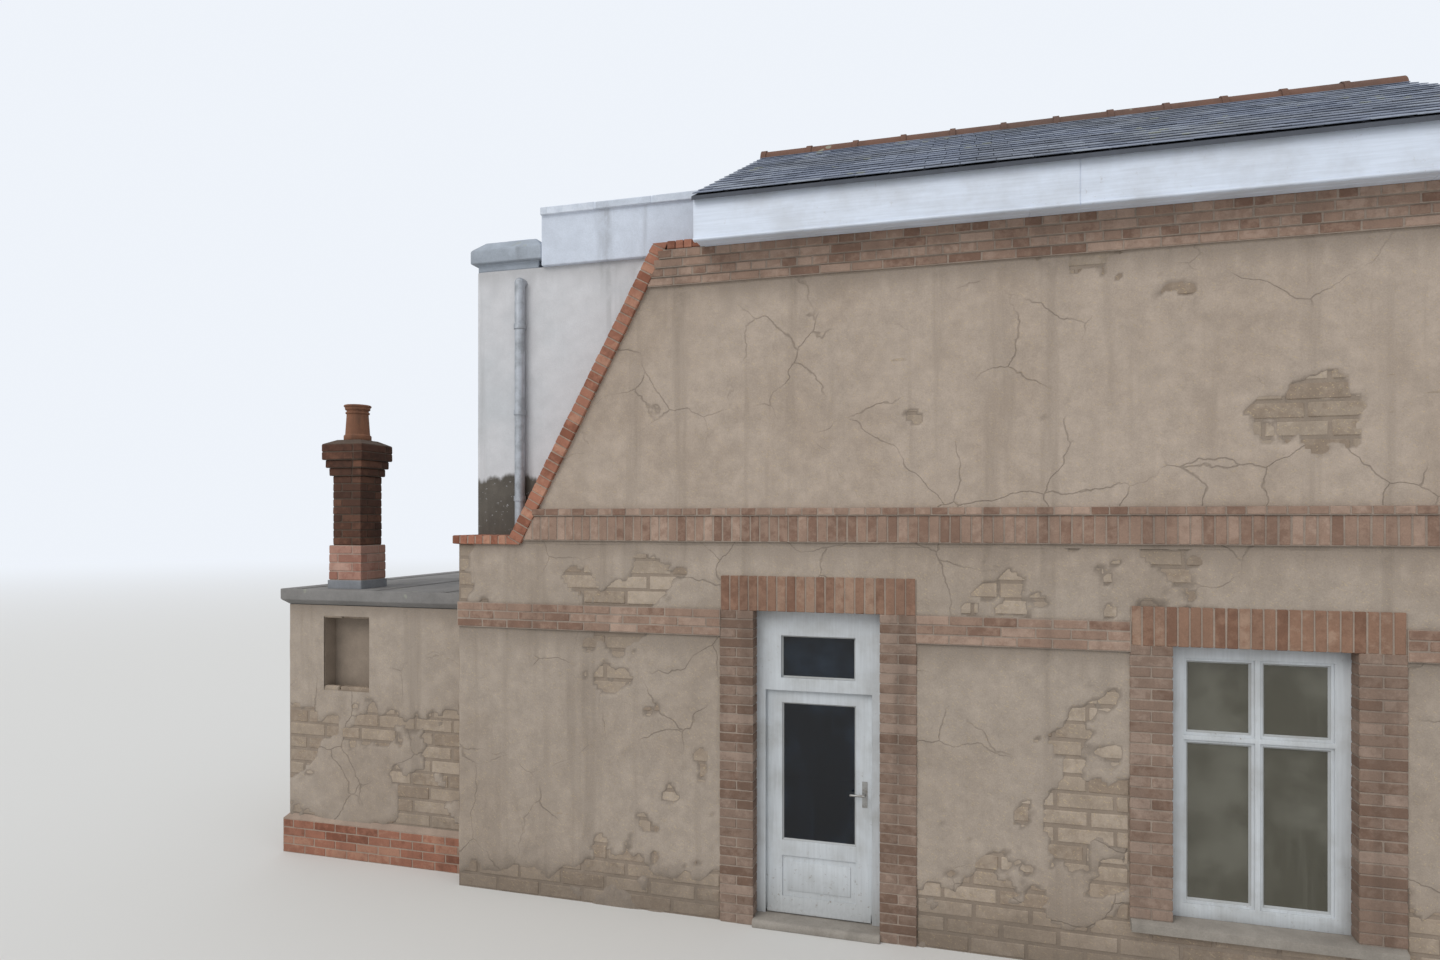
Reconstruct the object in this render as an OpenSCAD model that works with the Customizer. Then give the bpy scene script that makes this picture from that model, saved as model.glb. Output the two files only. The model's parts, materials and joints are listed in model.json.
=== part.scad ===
// Two-storey earth-walled house with a raked front wall, a whitewashed upper room and a low wing.
// Millimetres. X runs along the front, Y into the house, Z up from the ground.
// The origin is under the middle of the door's threshold, on the outer face of the front wall.

/* [House body] */
// From the door's middle to the left end of the lower storey
body_left = 3100; // [2900:10:3600]
// From the door's middle to the right end of the house
body_right = 4600; // [4400:10:5600]
// Depth of the house, from front face to back face
body_depth = 4200; // [3600:10:5200]
// Thickness of the lower earth walls
wall_t = 500; // [440:10:600]
// Thickness of the upper earth walls
upper_t = 300; // [240:10:360]
// Height of the lower walls
lower_h = 2950; // [2900:10:3100]
// Thickness of the upper floor
deck_t = 150; // [100:5:200]
// Thickness of the ground floor
ground_t = 60; // [40:5:80]

/* [Door] */
// Width of the doorway between the brick jambs
door_w = 980; // [900:10:1100]
// Height of the earth wall over the door's lintel
over_door_h = 240; // [150:10:320]
// How far the door frame stands back from the wall face
frame_set = 100; // [60:5:140]
// Depth of the door and window frames
frame_d = 80; // [70:1:100]
// Width of the frame's posts and head
frame_w = 60; // [50:1:80]
// Height of the transom's underside above the ground
transom_z = 1830; // [1700:5:1950]
// Height of the transom bar
transom_h = 60; // [50:1:80]
// How far the door stop reaches over the leaf
stop_w = 15; // [10:1:20]
// Gap round the moving leaf
leaf_gap = 5; // [5:0.5:8]
// Thickness of the leaf
leaf_t = 45; // [38:1:50]
// Width of the leaf's stiles
stile_w = 135; // [100:1:150]
// Height of the leaf's top rail
top_rail_h = 110; // [90:1:140]
// Height of the glass's lower edge above the threshold
glass_sill_h = 570; // [500:5:700]
// Height of the leaf's lock rail and of the rail at its foot
leaf_rail_h = 120; // [90:1:150]
// Depth of the sunk panel's recess on each face of the leaf
panel_recess = 12; // [6:1:15]
// Width of the sunk margin round the raised middle of the panel
panel_margin = 45; // [30:1:70]
// How far the weather bar stands out from the leaf's foot
bar_out = 28; // [20:1:35]
// Height of the weather bar
bar_h = 60; // [40:1:80]
// Height of the top light's upper rail
light_rail_h = 145; // [100:1:160]
// Height of the top light's lower rail
light_foot_h = 25; // [15:1:40]
// Thickness of the window and door glass
glass_t = 6; // [4:1:8]
// How deep the glass sits in its grooves
groove = 8; // [6:1:10]
// Radius of the hinge knuckles
knuckle_r = 8; // [6:0.5:8]
// Length of each hinge
hinge_h = 100; // [70:1:120]
// Height of the lever handle above the threshold
handle_h = 980; // [900:5:1050]
// How far the threshold reaches out in front of the wall
threshold_nose = 60; // [30:5:100]

/* [Brick dressings] */
// Width of the brick jambs beside the door and window
jamb_w = 260; // [200:5:300]
// Height of the lintels
lintel_h = 260; // [180:5:300]
// How far the brick dressings stand out from the render
dress_out = 20; // [10:1:40]

/* [Window] */
// Distance from the door's middle to the window's left side
window_x = 2460; // [2300:10:2700]
// Width of the window opening
window_w = 1100; // [900:10:1200]
// Height of the window's sill above the ground
sill_z = 400; // [350:10:600]
// Height of the earth wall over the window's lintel
over_window_h = 400; // [300:10:500]
// Height of the transom's underside above the window's sill
window_transom_h = 1210; // [1050:10:1350]
// Width of the window's transom and mullion
glazing_bar_w = 70; // [50:1:90]
// Width of the sash wood inside the window's frame
sash_w = 55; // [40:1:70]
// Thickness of the window's sill stone
sill_t = 80; // [60:5:100]
// How far the sill stone stands out from the wall
sill_out = 60; // [30:5:90]

/* [Bands] */
// How far the bands stand out from the wall
band_out = 30; // [15:1:50]
// Height of the lowest band
head_band_h = 210; // [120:5:220]
// Height of the middle band's underside above the lower walls
storey_band_rise = 30; // [20:5:100]
// Height of the middle band
storey_band_h = 270; // [180:5:300]
// Height of the band under the eaves
eaves_band_h = 280; // [180:5:320]
// Number of stepped courses in the band under the eaves
eaves_courses = 4; // [2:1:5]
// How far each of those courses stands out from the one below
course_step = 10; // [5:1:15]
// How far the top course of the middle band stands out from its body
band_lip = 15; // [8:1:25]
// Height of the middle band's top course
band_lip_h = 65; // [50:5:80]

/* [Raked front wall] */
// Distance from the door's middle to the foot of the rake
rake_foot = 2500; // [2400:10:2600]
// Distance from the door's middle to the top of the rake
rake_head = 1180; // [1100:10:1300]
// Height of the rake's top above the ground
rake_top_z = 5360; // [5340:10:5400]
// Thickness of the coping on the rake, square to the slope
coping_t = 110; // [80:5:120]
// How far the coping stands out from the wall face
coping_out = 40; // [20:5:60]
// Thickness of the level coping on the shoulder
shoulder_t = 65; // [50:5:90]

/* [Roof] */
// Distance from the door's middle to the roof's left verge
verge_x = 900; // [800:10:1000]
// Height where the roof's underside meets the outer wall face
plate_z = 5640; // [5600:10:5760]
// Slope of the roof in degrees
pitch = 27.5; // [22:0.5:32]
// Thickness of the roof, square to its slope
roof_t = 110; // [80:5:140]
// How far the eaves reach out from the wall face
eaves_out = 250; // [180:10:320]
// Height of the soffit's underside
soffit_z = 5300; // [5260:10:5330]
// Thickness of the soffit boards
soffit_t = 20; // [15:1:30]
// Thickness of the fascia boards
fascia_t = 32; // [25:1:40]
// How far the fascia hangs below the soffit
fascia_drop = 20; // [10:1:30]
// Gap between the roof and the sloping tops under it
roof_gap = 0.2; // [0.1:0.1:1]
// How far the slates reach beyond the fascia
slate_drip = 50; // [30:5:70]
// Thickness of the slates and battens over the fascia
slate_edge_t = 30; // [20:1:40]
// How far the roof reaches over the right gable
verge_out = 60; // [40:5:120]
// Radius of the ridge tiles
ridge_r = 130; // [100:5:150]
// Length of each ridge tile that shows
ridge_tile_l = 460; // [380:10:560]
// How far the collar of a ridge tile stands out
ridge_collar = 12; // [6:1:15]

/* [Whitewashed upper room] */
// Height of the room's roof surface
room_top_z = 5360; // [5345:5:5400]
// Thickness of the room's flat roof
room_roof_t = 120; // [90:5:160]
// Height of the pale parapet above the flat roof
parapet_h = 500; // [350:10:560]
// Thickness of the parapet
parapet_t = 200; // [150:5:260]
// How far the parapet stands out from the walls below
parapet_out = 50; // [30:5:80]
// Width and depth of the corner stack
stack_w = 600; // [560:5:600]
// Height of the stack's cap
cap_h = 280; // [180:5:300]
// How far the cap stands out from the stack
cap_out = 50; // [30:5:70]
// Height of the lip along the parapet's top
parapet_lip_h = 65; // [40:5:90]
// How far that lip stands out on both faces
parapet_lip = 25; // [10:5:35]
// Radius of the downpipe
pipe_r = 45; // [35:1:55]
// Distance from the stack's right side to the downpipe
pipe_in = 150; // [100:5:200]
// Gap between the downpipe and the stack
pipe_gap = 15; // [10:1:25]

/* [Low wing] */
// Length of the wing along the front
wing_l = 2000; // [1700:10:2600]
// How far the wing's front stands back from the house front
wing_set = 250; // [100:10:300]
// How far the wing's back stands in from the house back
wing_back_in = 950; // [700:10:1500]
// Thickness of the wing's walls
wing_t = 400; // [300:10:450]
// Height of the wing's walls
wing_h = 2350; // [2300:10:2600]
// Thickness of the wing's flat roof
wing_roof_t = 150; // [100:5:200]
// How far the wing's roof reaches over its walls
wing_eaves = 60; // [30:5:120]
// Height of the brick plinth
plinth_h = 360; // [250:10:420]
// How far the plinth stands out from the walls
plinth_out = 40; // [20:5:60]
// Width of the niche in the wing's front
niche_w = 510; // [400:10:600]
// Height of the niche
niche_h = 700; // [500:10:720]
// Height of the niche's floor above the ground
niche_z = 1560; // [1400:10:1600]
// Depth of the niche
niche_d = 150; // [100:10:200]
// Distance from the wing's left end to the niche's middle
niche_in = 655; // [600:5:800]

/* [Flue] */
// Distance from the wing's left end to the flue's middle
flue_in = 555; // [500:5:650]
// Distance from the wing's front face to the flue's middle
flue_back = 260; // [250:5:400]
// Width of the flue's square base
flue_base_w = 350; // [340:5:380]
// Height of the flue's square base
flue_base_h = 410; // [300:10:450]
// Width of the square shaft
shaft_w = 300; // [280:5:330]
// Height of the shaft
shaft_h = 660; // [500:10:700]
// Width of the flue's head where it is widest
head_w = 440; // [400:5:460]
// Height of the head's brick courses
head_h = 300; // [260:10:320]
// Height of the sloping mortar round the pot's foot
flaunch_h = 45; // [30:5:60]
// Width of the square hollow inside the flue
flue_hole_w = 150; // [140:5:160]
// Radius of the clay pot's foot and rim
pot_r = 125; // [115:5:135]
// Height of the pot
pot_h = 340; // [250:10:400]
// Wall thickness of the pot
pot_t = 22; // [18:1:30]

/* [Hidden] */
$fn = 64;

// The inner faces that the upper walls and the upper floor share
inner_x = [-body_left + upper_t, body_right - upper_t];
inner_y = [upper_t, body_depth - upper_t];
deck_top = lower_h + deck_t;
ridge_y = body_depth / 2;
roof_x = [-verge_x, body_right + verge_out];
door_h = lower_h - over_door_h - lintel_h;
door_x = [-door_w / 2, door_w / 2];
door_jamb_x = [door_x[0] - jamb_w, door_x[1] + jamb_w];
window_span = [window_x, window_x + window_w];
window_jamb_x = [window_span[0] - jamb_w, window_span[1] + jamb_w];
window_top = lower_h - over_window_h - lintel_h;
frame_y = [frame_set, frame_set + frame_d];
// The leaf's inner face stands clear of the frame, so that the hinge knuckles pass it
leaf_y = [frame_y[1] + leaf_gap - leaf_t, frame_y[1] + leaf_gap];
leaf_x = [door_x[0] + frame_w + leaf_gap, door_x[1] - frame_w - leaf_gap];
leaf_z = [ground_t + 2 * leaf_gap, transom_z - leaf_gap];
leaf_glass_x = [leaf_x[0] + stile_w, leaf_x[1] - stile_w];
leaf_glass_z = [ground_t + glass_sill_h, leaf_z[1] - top_rail_h];
hinge_x = leaf_x[0] - leaf_gap / 2;
hinge_y = leaf_y[1] + knuckle_r;
light_z = [transom_z + transom_h, door_h - frame_w];
light_glass_z = [light_z[0] + light_foot_h, light_z[1] - light_rail_h];
glass_y = [frame_set + frame_d / 2 - glass_t / 2, frame_set + frame_d / 2 + glass_t / 2];
leaf_glass_y = [(leaf_y[0] + leaf_y[1] - glass_t) / 2, (leaf_y[0] + leaf_y[1] + glass_t) / 2];
window_mid = (window_span[0] + window_span[1]) / 2;
window_transom_z = sill_z + window_transom_h;
rake_angle = atan2(rake_top_z - lower_h, rake_foot - rake_head);
coping_w = coping_t / sin(rake_angle);
stack_x = [-body_left, -body_left + stack_w];
stack_y = [upper_t, upper_t + stack_w];
cap_x = [stack_x[0] - cap_out, stack_x[1] + cap_out];
cap_y = [stack_y[0] - cap_out, stack_y[1] + cap_out];
room_wall_top = room_top_z - room_roof_t;
pipe_x = stack_x[1] - pipe_in;
pipe_y = stack_y[0] - pipe_gap - pipe_r;
pipe_top = room_top_z - 2 * pipe_r;
wing_x = [-body_left - wing_l, -body_left];
wing_y = [wing_set, body_depth - wing_back_in];
niche_x = wing_x[0] + niche_in;
flue_x = wing_x[0] + flue_in;
flue_y = wing_y[0] + flue_back;
flue_foot = wing_h + wing_roof_t;
shaft_z = [flue_foot + flue_base_h, flue_foot + flue_base_h + shaft_h];
pot_foot = shaft_z[1] + head_h + flaunch_h;
// How far the raised kerbs, clips and plates of small parts stand from what carries them
trim = 3;

// Height of the roof's underside at a depth, on the front slope and its mirror image
function roof_under(y) = plate_z + (y < ridge_y ? y : body_depth - y) * tan(pitch);
// Height of the walls and boards that the roof rests on, at a depth
function plate_top(y) = roof_under(y) - roof_gap;
// Height of the roof's upper surface at a depth
function roof_over(y) = roof_under(y) + roof_t / cos(pitch);
// Height of the slates' underside where they reach over the fascia, at a depth
function slate_under(y) = roof_over(y) - slate_edge_t;

// A straight block from three spans
module block(x, y, z) {
    translate([x[0], y[0], z[0]]) cube([x[1] - x[0], y[1] - y[0], z[1] - z[0]]);
}

// An outline in X and Z, carried from one depth to another
module along_y(y) {
    translate([0, y[1], 0]) rotate([90, 0, 0]) linear_extrude(y[1] - y[0]) children();
}

// An outline in Y and Z, carried along the front
module along_x(x) {
    translate([x[0], 0, 0]) rotate([90, 0, 90]) linear_extrude(x[1] - x[0]) children();
}

// Everything that the roof can rest on, between two ends
module under_roof(x) {
    along_x(x) polygon([
        [-eaves_out, 0], [body_depth + eaves_out, 0],
        [body_depth + eaves_out, plate_top(-eaves_out)], [ridge_y, plate_top(ridge_y)],
        [-eaves_out, plate_top(-eaves_out)]]);
}

module floor_slab() {
    color("tan") block([-body_left + wall_t, body_right - wall_t],
        [wall_t, body_depth - wall_t], [0, ground_t]);
}

// The threshold stone, with a worn round nose
module threshold() {
    nose_r = ground_t / 2;
    color("silver") along_x(door_x) {
        translate([nose_r - threshold_nose, 0])
            square([wall_t + threshold_nose - nose_r, ground_t]);
        translate([nose_r - threshold_nose, 0]) square([nose_r, nose_r]);
        translate([nose_r - threshold_nose, nose_r]) circle(r = nose_r);
        translate([-threshold_nose, 0]) square([nose_r, nose_r]);
    }
}

module front_wall_left() {
    color("rosybrown") block([-body_left, door_jamb_x[0]], [0, wall_t], [0, lower_h]);
}

module front_wall_middle() {
    color("rosybrown") block([door_jamb_x[1], window_jamb_x[0]], [0, wall_t], [0, lower_h]);
}

module front_wall_right() {
    color("rosybrown") block([window_jamb_x[1], body_right], [0, wall_t], [0, lower_h]);
}

module wall_over_door() {
    color("rosybrown") block(door_jamb_x, [0, wall_t], [door_h + lintel_h, lower_h]);
}

module walls_at_window() {
    color("rosybrown") {
        block(window_jamb_x, [0, wall_t], [0, sill_z - sill_t]);
        block(window_jamb_x, [0, wall_t], [window_top + lintel_h, lower_h]);
    }
}

// A pair of brick jambs, from the outer face of the dressing to the inner wall face
module jamb_pair(opening, z) {
    block([opening[0] - jamb_w, opening[0]], [-dress_out, wall_t], z);
    block([opening[1], opening[1] + jamb_w], [-dress_out, wall_t], z);
}

module brick_jambs() {
    color("indianred") {
        jamb_pair(door_x, [0, door_h]);
        jamb_pair(window_span, [sill_z, window_top]);
    }
}

module lintels() {
    color("peru") {
        block(door_jamb_x, [-dress_out, wall_t], [door_h, door_h + lintel_h]);
        block(window_jamb_x, [-dress_out, wall_t], [window_top, window_top + lintel_h]);
    }
}

// The sill stone, with a sloping top and a drip groove under its nose
module window_sill() {
    fall = sill_t / 4;
    drip_r = sill_t / 8;
    color("gray") along_x(window_jamb_x) difference() {
        polygon([[-sill_out, sill_z - sill_t], [wall_t, sill_z - sill_t], [wall_t, sill_z],
            [-dress_out, sill_z], [-sill_out, sill_z - fall]]);
        translate([-sill_out * 2 / 3, sill_z - sill_t]) circle(r = drip_r);
    }
}

module left_end_wall() {
    color("rosybrown") block([-body_left, -body_left + wall_t],
        [wall_t, body_depth - wall_t], [0, lower_h]);
}

module right_end_wall() {
    color("rosybrown") block([body_right - wall_t, body_right],
        [wall_t, body_depth - wall_t], [0, lower_h]);
}

module back_wall() {
    color("rosybrown") block([-body_left, body_right],
        [body_depth - wall_t, body_depth], [0, lower_h]);
}

// The upper floor bears on the inner part of the lower walls, within the upper walls
module deck() {
    block(inner_x, inner_y, [lower_h, deck_top]);
}

module upper_floor() {
    color("burlywood") deck();
}

// The outline of the upper front wall, with its raked left edge
module raked_outline() {
    polygon([[-rake_foot, lower_h], [body_right, lower_h], [body_right, plate_z + upper_t],
        [-verge_x, plate_z + upper_t], [-verge_x, rake_top_z], [-rake_head, rake_top_z]]);
}

module upper_front_wall() {
    color("rosybrown") intersection() {
        along_y([0, upper_t]) raked_outline();
        under_roof([-body_left, body_right]);
    }
}

// The middle band's section in Y and Z: a flat body under a lip with a sloping top
module storey_section() {
    foot = lower_h + storey_band_rise;
    top = foot + storey_band_h;
    polygon([[0, foot], [-band_out, foot], [-band_out, top - band_lip_h],
        [-band_out - band_lip, top - band_lip_h], [-band_out - band_lip, top - band_lip],
        [0, top]]);
}

// The eaves band's section: courses that step outwards up to the soffit
module eaves_section() {
    course_h = eaves_band_h / eaves_courses;
    for (i = [0:eaves_courses - 1])
        translate([-band_out - i * course_step, soffit_z - (eaves_courses - i) * course_h])
            square([band_out + i * course_step, course_h]);
}

// A section carried along the front and cut to the raked edge
module raked_band() {
    intersection() {
        along_x([-rake_foot, body_right]) children();
        along_y([-eaves_out, 0]) raked_outline();
    }
}

// A section carried along the back, as its mirror image
module back_band() {
    translate([0, body_depth, 0]) mirror([0, 1, 0]) along_x([-verge_x, body_right]) children();
}

module string_bands() {
    head_z = [door_h - head_band_h, door_h];
    color("sienna") {
        block([-body_left, door_jamb_x[0]], [-band_out, 0], head_z);
        block([door_jamb_x[1], window_jamb_x[0]], [-band_out, 0], head_z);
        block([window_jamb_x[1], body_right], [-band_out, 0], head_z);
        raked_band() storey_section();
        raked_band() eaves_section();
        back_band() storey_section();
        back_band() eaves_section();
    }
}

// The coping climbs the rake, and runs level over the shoulder to the left end
module wall_coping() {
    foot = -rake_foot - coping_w;
    color("firebrick") {
        along_y([-coping_out, upper_t]) polygon([
            [-rake_foot, lower_h], [-rake_head, rake_top_z],
            [-rake_head - coping_w, rake_top_z], [foot + shoulder_t / tan(rake_angle),
            lower_h + shoulder_t], [-body_left - coping_out, lower_h + shoulder_t],
            [-body_left - coping_out, lower_h]]);
    }
}

module upper_back_wall() {
    color("rosybrown") intersection() {
        block([-verge_x, body_right], [inner_y[1], body_depth], [lower_h, plate_z + upper_t]);
        under_roof([-verge_x, body_right]);
    }
}

// A gable wall between the front and back walls, up to the roof's underside
module gable(x, foot) {
    along_x(x) polygon([[inner_y[0], foot], [inner_y[1], foot],
        [inner_y[1], plate_top(inner_y[1])], [ridge_y, plate_top(ridge_y)],
        [inner_y[0], plate_top(inner_y[0])]]);
}

module left_gable_wall() {
    color("rosybrown") gable([-verge_x, -verge_x + upper_t], deck_top);
}

module right_gable_wall() {
    color("rosybrown") gable([inner_x[1], body_right], lower_h);
}

// Half of the eaves trim, repeated as its mirror image on the back
module both_eaves() {
    children();
    translate([0, body_depth, 0]) mirror([0, 1, 0]) children();
}

// Each fascia covers the roof's edge up to the slates, with a board back to the wall at each end
module fascias() {
    edge = -eaves_out;
    back = edge + fascia_t;
    color("whitesmoke") both_eaves() {
        along_x([-verge_x, body_right]) polygon([[edge, soffit_z - fascia_drop],
            [back, soffit_z - fascia_drop], [back, slate_under(back) - roof_gap],
            [edge, slate_under(edge) - roof_gap]]);
        for (x = [-verge_x, body_right - fascia_t])
            along_x([x, x + fascia_t]) polygon([[back, soffit_z], [0, soffit_z],
                [0, plate_top(0)], [back, plate_top(back)]]);
    }
}

module soffits() {
    color("white") both_eaves() block([-verge_x + fascia_t, body_right - fascia_t],
        [-eaves_out + fascia_t, 0], [soffit_z, soffit_z + soffit_t]);
}

// One slope, from the dripping edge at the eaves to the ridge
module slope() {
    edge = -eaves_out - slate_drip;
    foot = -eaves_out + fascia_t;
    along_x(roof_x) polygon([
        [foot, roof_under(foot)], [ridge_y, roof_under(ridge_y)],
        [ridge_y, roof_over(ridge_y)], [edge, roof_over(edge)],
        [edge, slate_under(edge)], [foot, slate_under(foot)]]);
}

module roof_front() {
    color("dimgray") slope();
}

module roof_back() {
    color("dimgray") translate([0, body_depth, 0]) mirror([0, 1, 0]) slope();
}

// Round ridge tiles that sit on both slopes, each with a collar over the next
module ridge_tiles() {
    drop = ridge_r * 0.6;
    run = roof_x[1] - roof_x[0];
    count = max(1, floor(run / ridge_tile_l));
    color("brown") difference() {
        translate([roof_x[0], ridge_y, roof_over(ridge_y) - drop]) rotate([0, 90, 0]) {
            cylinder(r = ridge_r, h = run);
            for (i = [0:count - 1]) translate([0, 0, i * run / count])
                cylinder(r = ridge_r + ridge_collar, h = run / count / 9);
        }
        along_x([roof_x[0] - trim, roof_x[1] + trim]) polygon([
            [0, 0], [body_depth, 0], [body_depth, roof_over(body_depth) + roof_gap],
            [ridge_y, roof_over(ridge_y) + roof_gap], [0, roof_over(0) + roof_gap]]);
    }
}

module room_front_wall() {
    color("whitesmoke") block([stack_x[1], -verge_x], [upper_t, wall_t],
        [deck_top, room_wall_top]);
}

module room_left_wall() {
    color("whitesmoke") block([-body_left, inner_x[0]], [stack_y[1], inner_y[1]],
        [lower_h, room_wall_top]);
}

module room_back_wall() {
    color("whitesmoke") block([-body_left, -verge_x], [inner_y[1], body_depth],
        [lower_h, room_wall_top]);
}

module room_roof() {
    color("whitesmoke") difference() {
        block([-body_left, -verge_x], [upper_t, body_depth], [room_wall_top, room_top_z]);
        block(stack_x, stack_y, [room_wall_top - trim, room_top_z + trim]);
    }
}

// The parapet's three sides, each grown on both faces by the same margin
module parapet_ring(z, grow) {
    outer_x = -body_left - parapet_out;
    outer_y = [upper_t - parapet_out, body_depth + parapet_out];
    block([cap_x[1], -verge_x], [outer_y[0] - grow, outer_y[0] + parapet_t + grow], z);
    block([outer_x - grow, outer_x + parapet_t + grow], [cap_y[1], outer_y[1] + grow], z);
    block([outer_x - grow, -verge_x], [outer_y[1] - parapet_t - grow, outer_y[1] + grow], z);
}

module room_parapet() {
    top = room_top_z + parapet_h;
    color("ghostwhite") {
        parapet_ring([room_top_z, top - parapet_lip_h], 0);
        parapet_ring([top - parapet_lip_h, top], parapet_lip);
    }
}

// The corner stack takes in the edge of the upper floor
module stack() {
    color("whitesmoke") difference() {
        block(stack_x, stack_y, [lower_h, room_top_z]);
        deck();
    }
}

// A cap's section: a step out, an upright edge and a sloping top
module cap_section(span, inner) {
    slope_h = cap_h / 3;
    step_h = cap_h / 4;
    polygon([[inner[0], room_top_z], [inner[1], room_top_z], [inner[1], room_top_z + step_h],
        [span[1], room_top_z + step_h], [span[1], room_top_z + cap_h - slope_h],
        [inner[1] - cap_out, room_top_z + cap_h], [inner[0] + cap_out, room_top_z + cap_h],
        [span[0], room_top_z + cap_h - slope_h], [span[0], room_top_z + step_h],
        [inner[0], room_top_z + step_h]]);
}

module stack_cap() {
    color("lightslategray") intersection() {
        along_y(cap_y) cap_section(cap_x, stack_x);
        along_x(cap_x) cap_section(cap_y, stack_y);
    }
}

// The downpipe, with an elbow into the stack and collars held to it by clips
module downpipe() {
    foot = lower_h + shoulder_t;
    collar_r = pipe_r + pipe_gap / 2;
    collar_h = pipe_r;
    clips = 3;
    color("silver") {
        translate([pipe_x, pipe_y, foot]) cylinder(r = pipe_r, h = pipe_top - foot - pipe_r);
        translate([pipe_x, pipe_y, pipe_top - pipe_r]) rotate([-90, 0, 0])
            cylinder(r = pipe_r, h = stack_y[0] - pipe_y);
        translate([pipe_x, pipe_y, pipe_top - pipe_r]) sphere(r = pipe_r);
        for (i = [1:clips]) {
            z = foot + (pipe_top - foot) * (i - 0.6) / clips;
            translate([pipe_x, pipe_y, z]) cylinder(r = collar_r, h = collar_h);
            block([pipe_x - pipe_gap, pipe_x + pipe_gap], [pipe_y, stack_y[0]], [z, z + collar_h]);
        }
    }
}

module wing_front_wall() {
    color("rosybrown") difference() {
        block(wing_x, [wing_y[0], wing_y[0] + wing_t], [0, wing_h]);
        block([niche_x - niche_w / 2, niche_x + niche_w / 2],
            [wing_y[0] - trim, wing_y[0] + niche_d], [niche_z, niche_z + niche_h]);
    }
}

module wing_left_wall() {
    color("rosybrown") block([wing_x[0], wing_x[0] + wing_t],
        [wing_y[0] + wing_t, wing_y[1] - wing_t], [0, wing_h]);
}

module wing_back_wall() {
    color("rosybrown") block(wing_x, [wing_y[1] - wing_t, wing_y[1]], [0, wing_h]);
}

// A slab's section with a sloping edge under an upright nose, between two ends
module nosed_section(span, inner, foot, h) {
    polygon([[inner[0], foot], [inner[1], foot], [span[1], foot + h / 3], [span[1], foot + h],
        [span[0], foot + h], [span[0], foot + h / 3]]);
}

// The wing's flat roof, with edges that lean out over the walls
module wing_roof() {
    x = [wing_x[0] - wing_eaves, wing_x[1]];
    y = [wing_y[0] - wing_eaves, wing_y[1] + wing_eaves];
    color("tan") intersection() {
        along_y(y) nosed_section(x, wing_x, wing_h, wing_roof_t);
        along_x(x) nosed_section(y, wing_y, wing_h, wing_roof_t);
    }
}

// The plinth goes round the wing's three free sides, with a sloping top
module wing_plinth() {
    x = [wing_x[0] - plinth_out, wing_x[1]];
    y = [wing_y[0] - plinth_out, wing_y[1] + plinth_out];
    shoulder = plinth_h - plinth_out;
    color("indianred") difference() {
        intersection() {
            along_y(y) polygon([[x[0], 0], [x[1], 0], [x[1], plinth_h], [wing_x[0], plinth_h],
                [x[0], shoulder]]);
            along_x(x) polygon([[y[0], 0], [y[1], 0], [y[1], shoulder], [wing_y[1], plinth_h],
                [wing_y[0], plinth_h], [y[0], shoulder]]);
        }
        block([wing_x[0], wing_x[1] + trim], wing_y, [-trim, plinth_h + trim]);
    }
}

// A square length of the flue round its hollow
module flue_length(w, z) {
    half = w / 2;
    hole = flue_hole_w / 2;
    difference() {
        block([flue_x - half, flue_x + half], [flue_y - half, flue_y + half], z);
        block([flue_x - hole, flue_x + hole], [flue_y - hole, flue_y + hole],
            [z[0] - trim, z[1] + trim]);
    }
}

module flue_base() {
    color("rosybrown") flue_length(flue_base_w, [flue_foot, shaft_z[0]]);
}

module flue_shaft() {
    color("saddlebrown") flue_length(shaft_w, shaft_z);
}

// The head's outline: brick courses that step out twice, then mortar that slopes in to the pot
module head_section(mid) {
    course = head_h / 4;
    half = [for (i = [0:3]) (shaft_w + (head_w - shaft_w) * min(i + 1, 3) / 3) / 2];
    side = [for (i = [0:3]) each [[half[i], shaft_z[1] + i * course],
        [half[i], shaft_z[1] + (i + 1) * course]]];
    top = [pot_r + trim, pot_foot];
    polygon([for (p = side) [mid - p[0], p[1]], [mid - top[0], top[1]], [mid + top[0], top[1]],
        for (i = [7:-1:0]) [mid + side[i][0], side[i][1]]]);
}

module flue_head() {
    reach = head_w;
    color("sienna") difference() {
        intersection() {
            along_y([flue_y - reach, flue_y + reach]) head_section(flue_x);
            along_x([flue_x - reach, flue_x + reach]) head_section(flue_y);
        }
        block([flue_x - flue_hole_w / 2, flue_x + flue_hole_w / 2],
            [flue_y - flue_hole_w / 2, flue_y + flue_hole_w / 2],
            [shaft_z[1] - trim, pot_foot + trim]);
    }
}

// A hollow clay pot with a foot, a tapering body, a neck roll and a rolled rim
module flue_pot() {
    body_r = pot_r - pot_t * 0.6;
    neck_r = pot_r - pot_t * 1.2;
    roll = pot_t / 2;
    color("peru") translate([flue_x, flue_y, pot_foot]) rotate_extrude() {
        polygon([[body_r - pot_t, 0], [pot_r, 0], [pot_r, 2 * pot_t], [body_r, 2.5 * pot_t],
            [neck_r, pot_h - 4 * pot_t], [neck_r, pot_h - 2.5 * pot_t],
            [pot_r - roll, pot_h - 2 * pot_t], [pot_r - roll, pot_h - roll],
            [neck_r - pot_t, pot_h - roll], [neck_r - pot_t, pot_h - 4 * pot_t]]);
        translate([pot_r - roll, pot_h - roll]) circle(r = roll);
        translate([neck_r, pot_h - 3.5 * pot_t]) circle(r = roll);
    }
}

// The glass over the door, larger than its light by the groove on each side
module light_glass() {
    block([leaf_glass_x[0] - groove, leaf_glass_x[1] + groove], glass_y,
        [light_glass_z[0] - groove, light_glass_z[1] + groove]);
}

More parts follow.
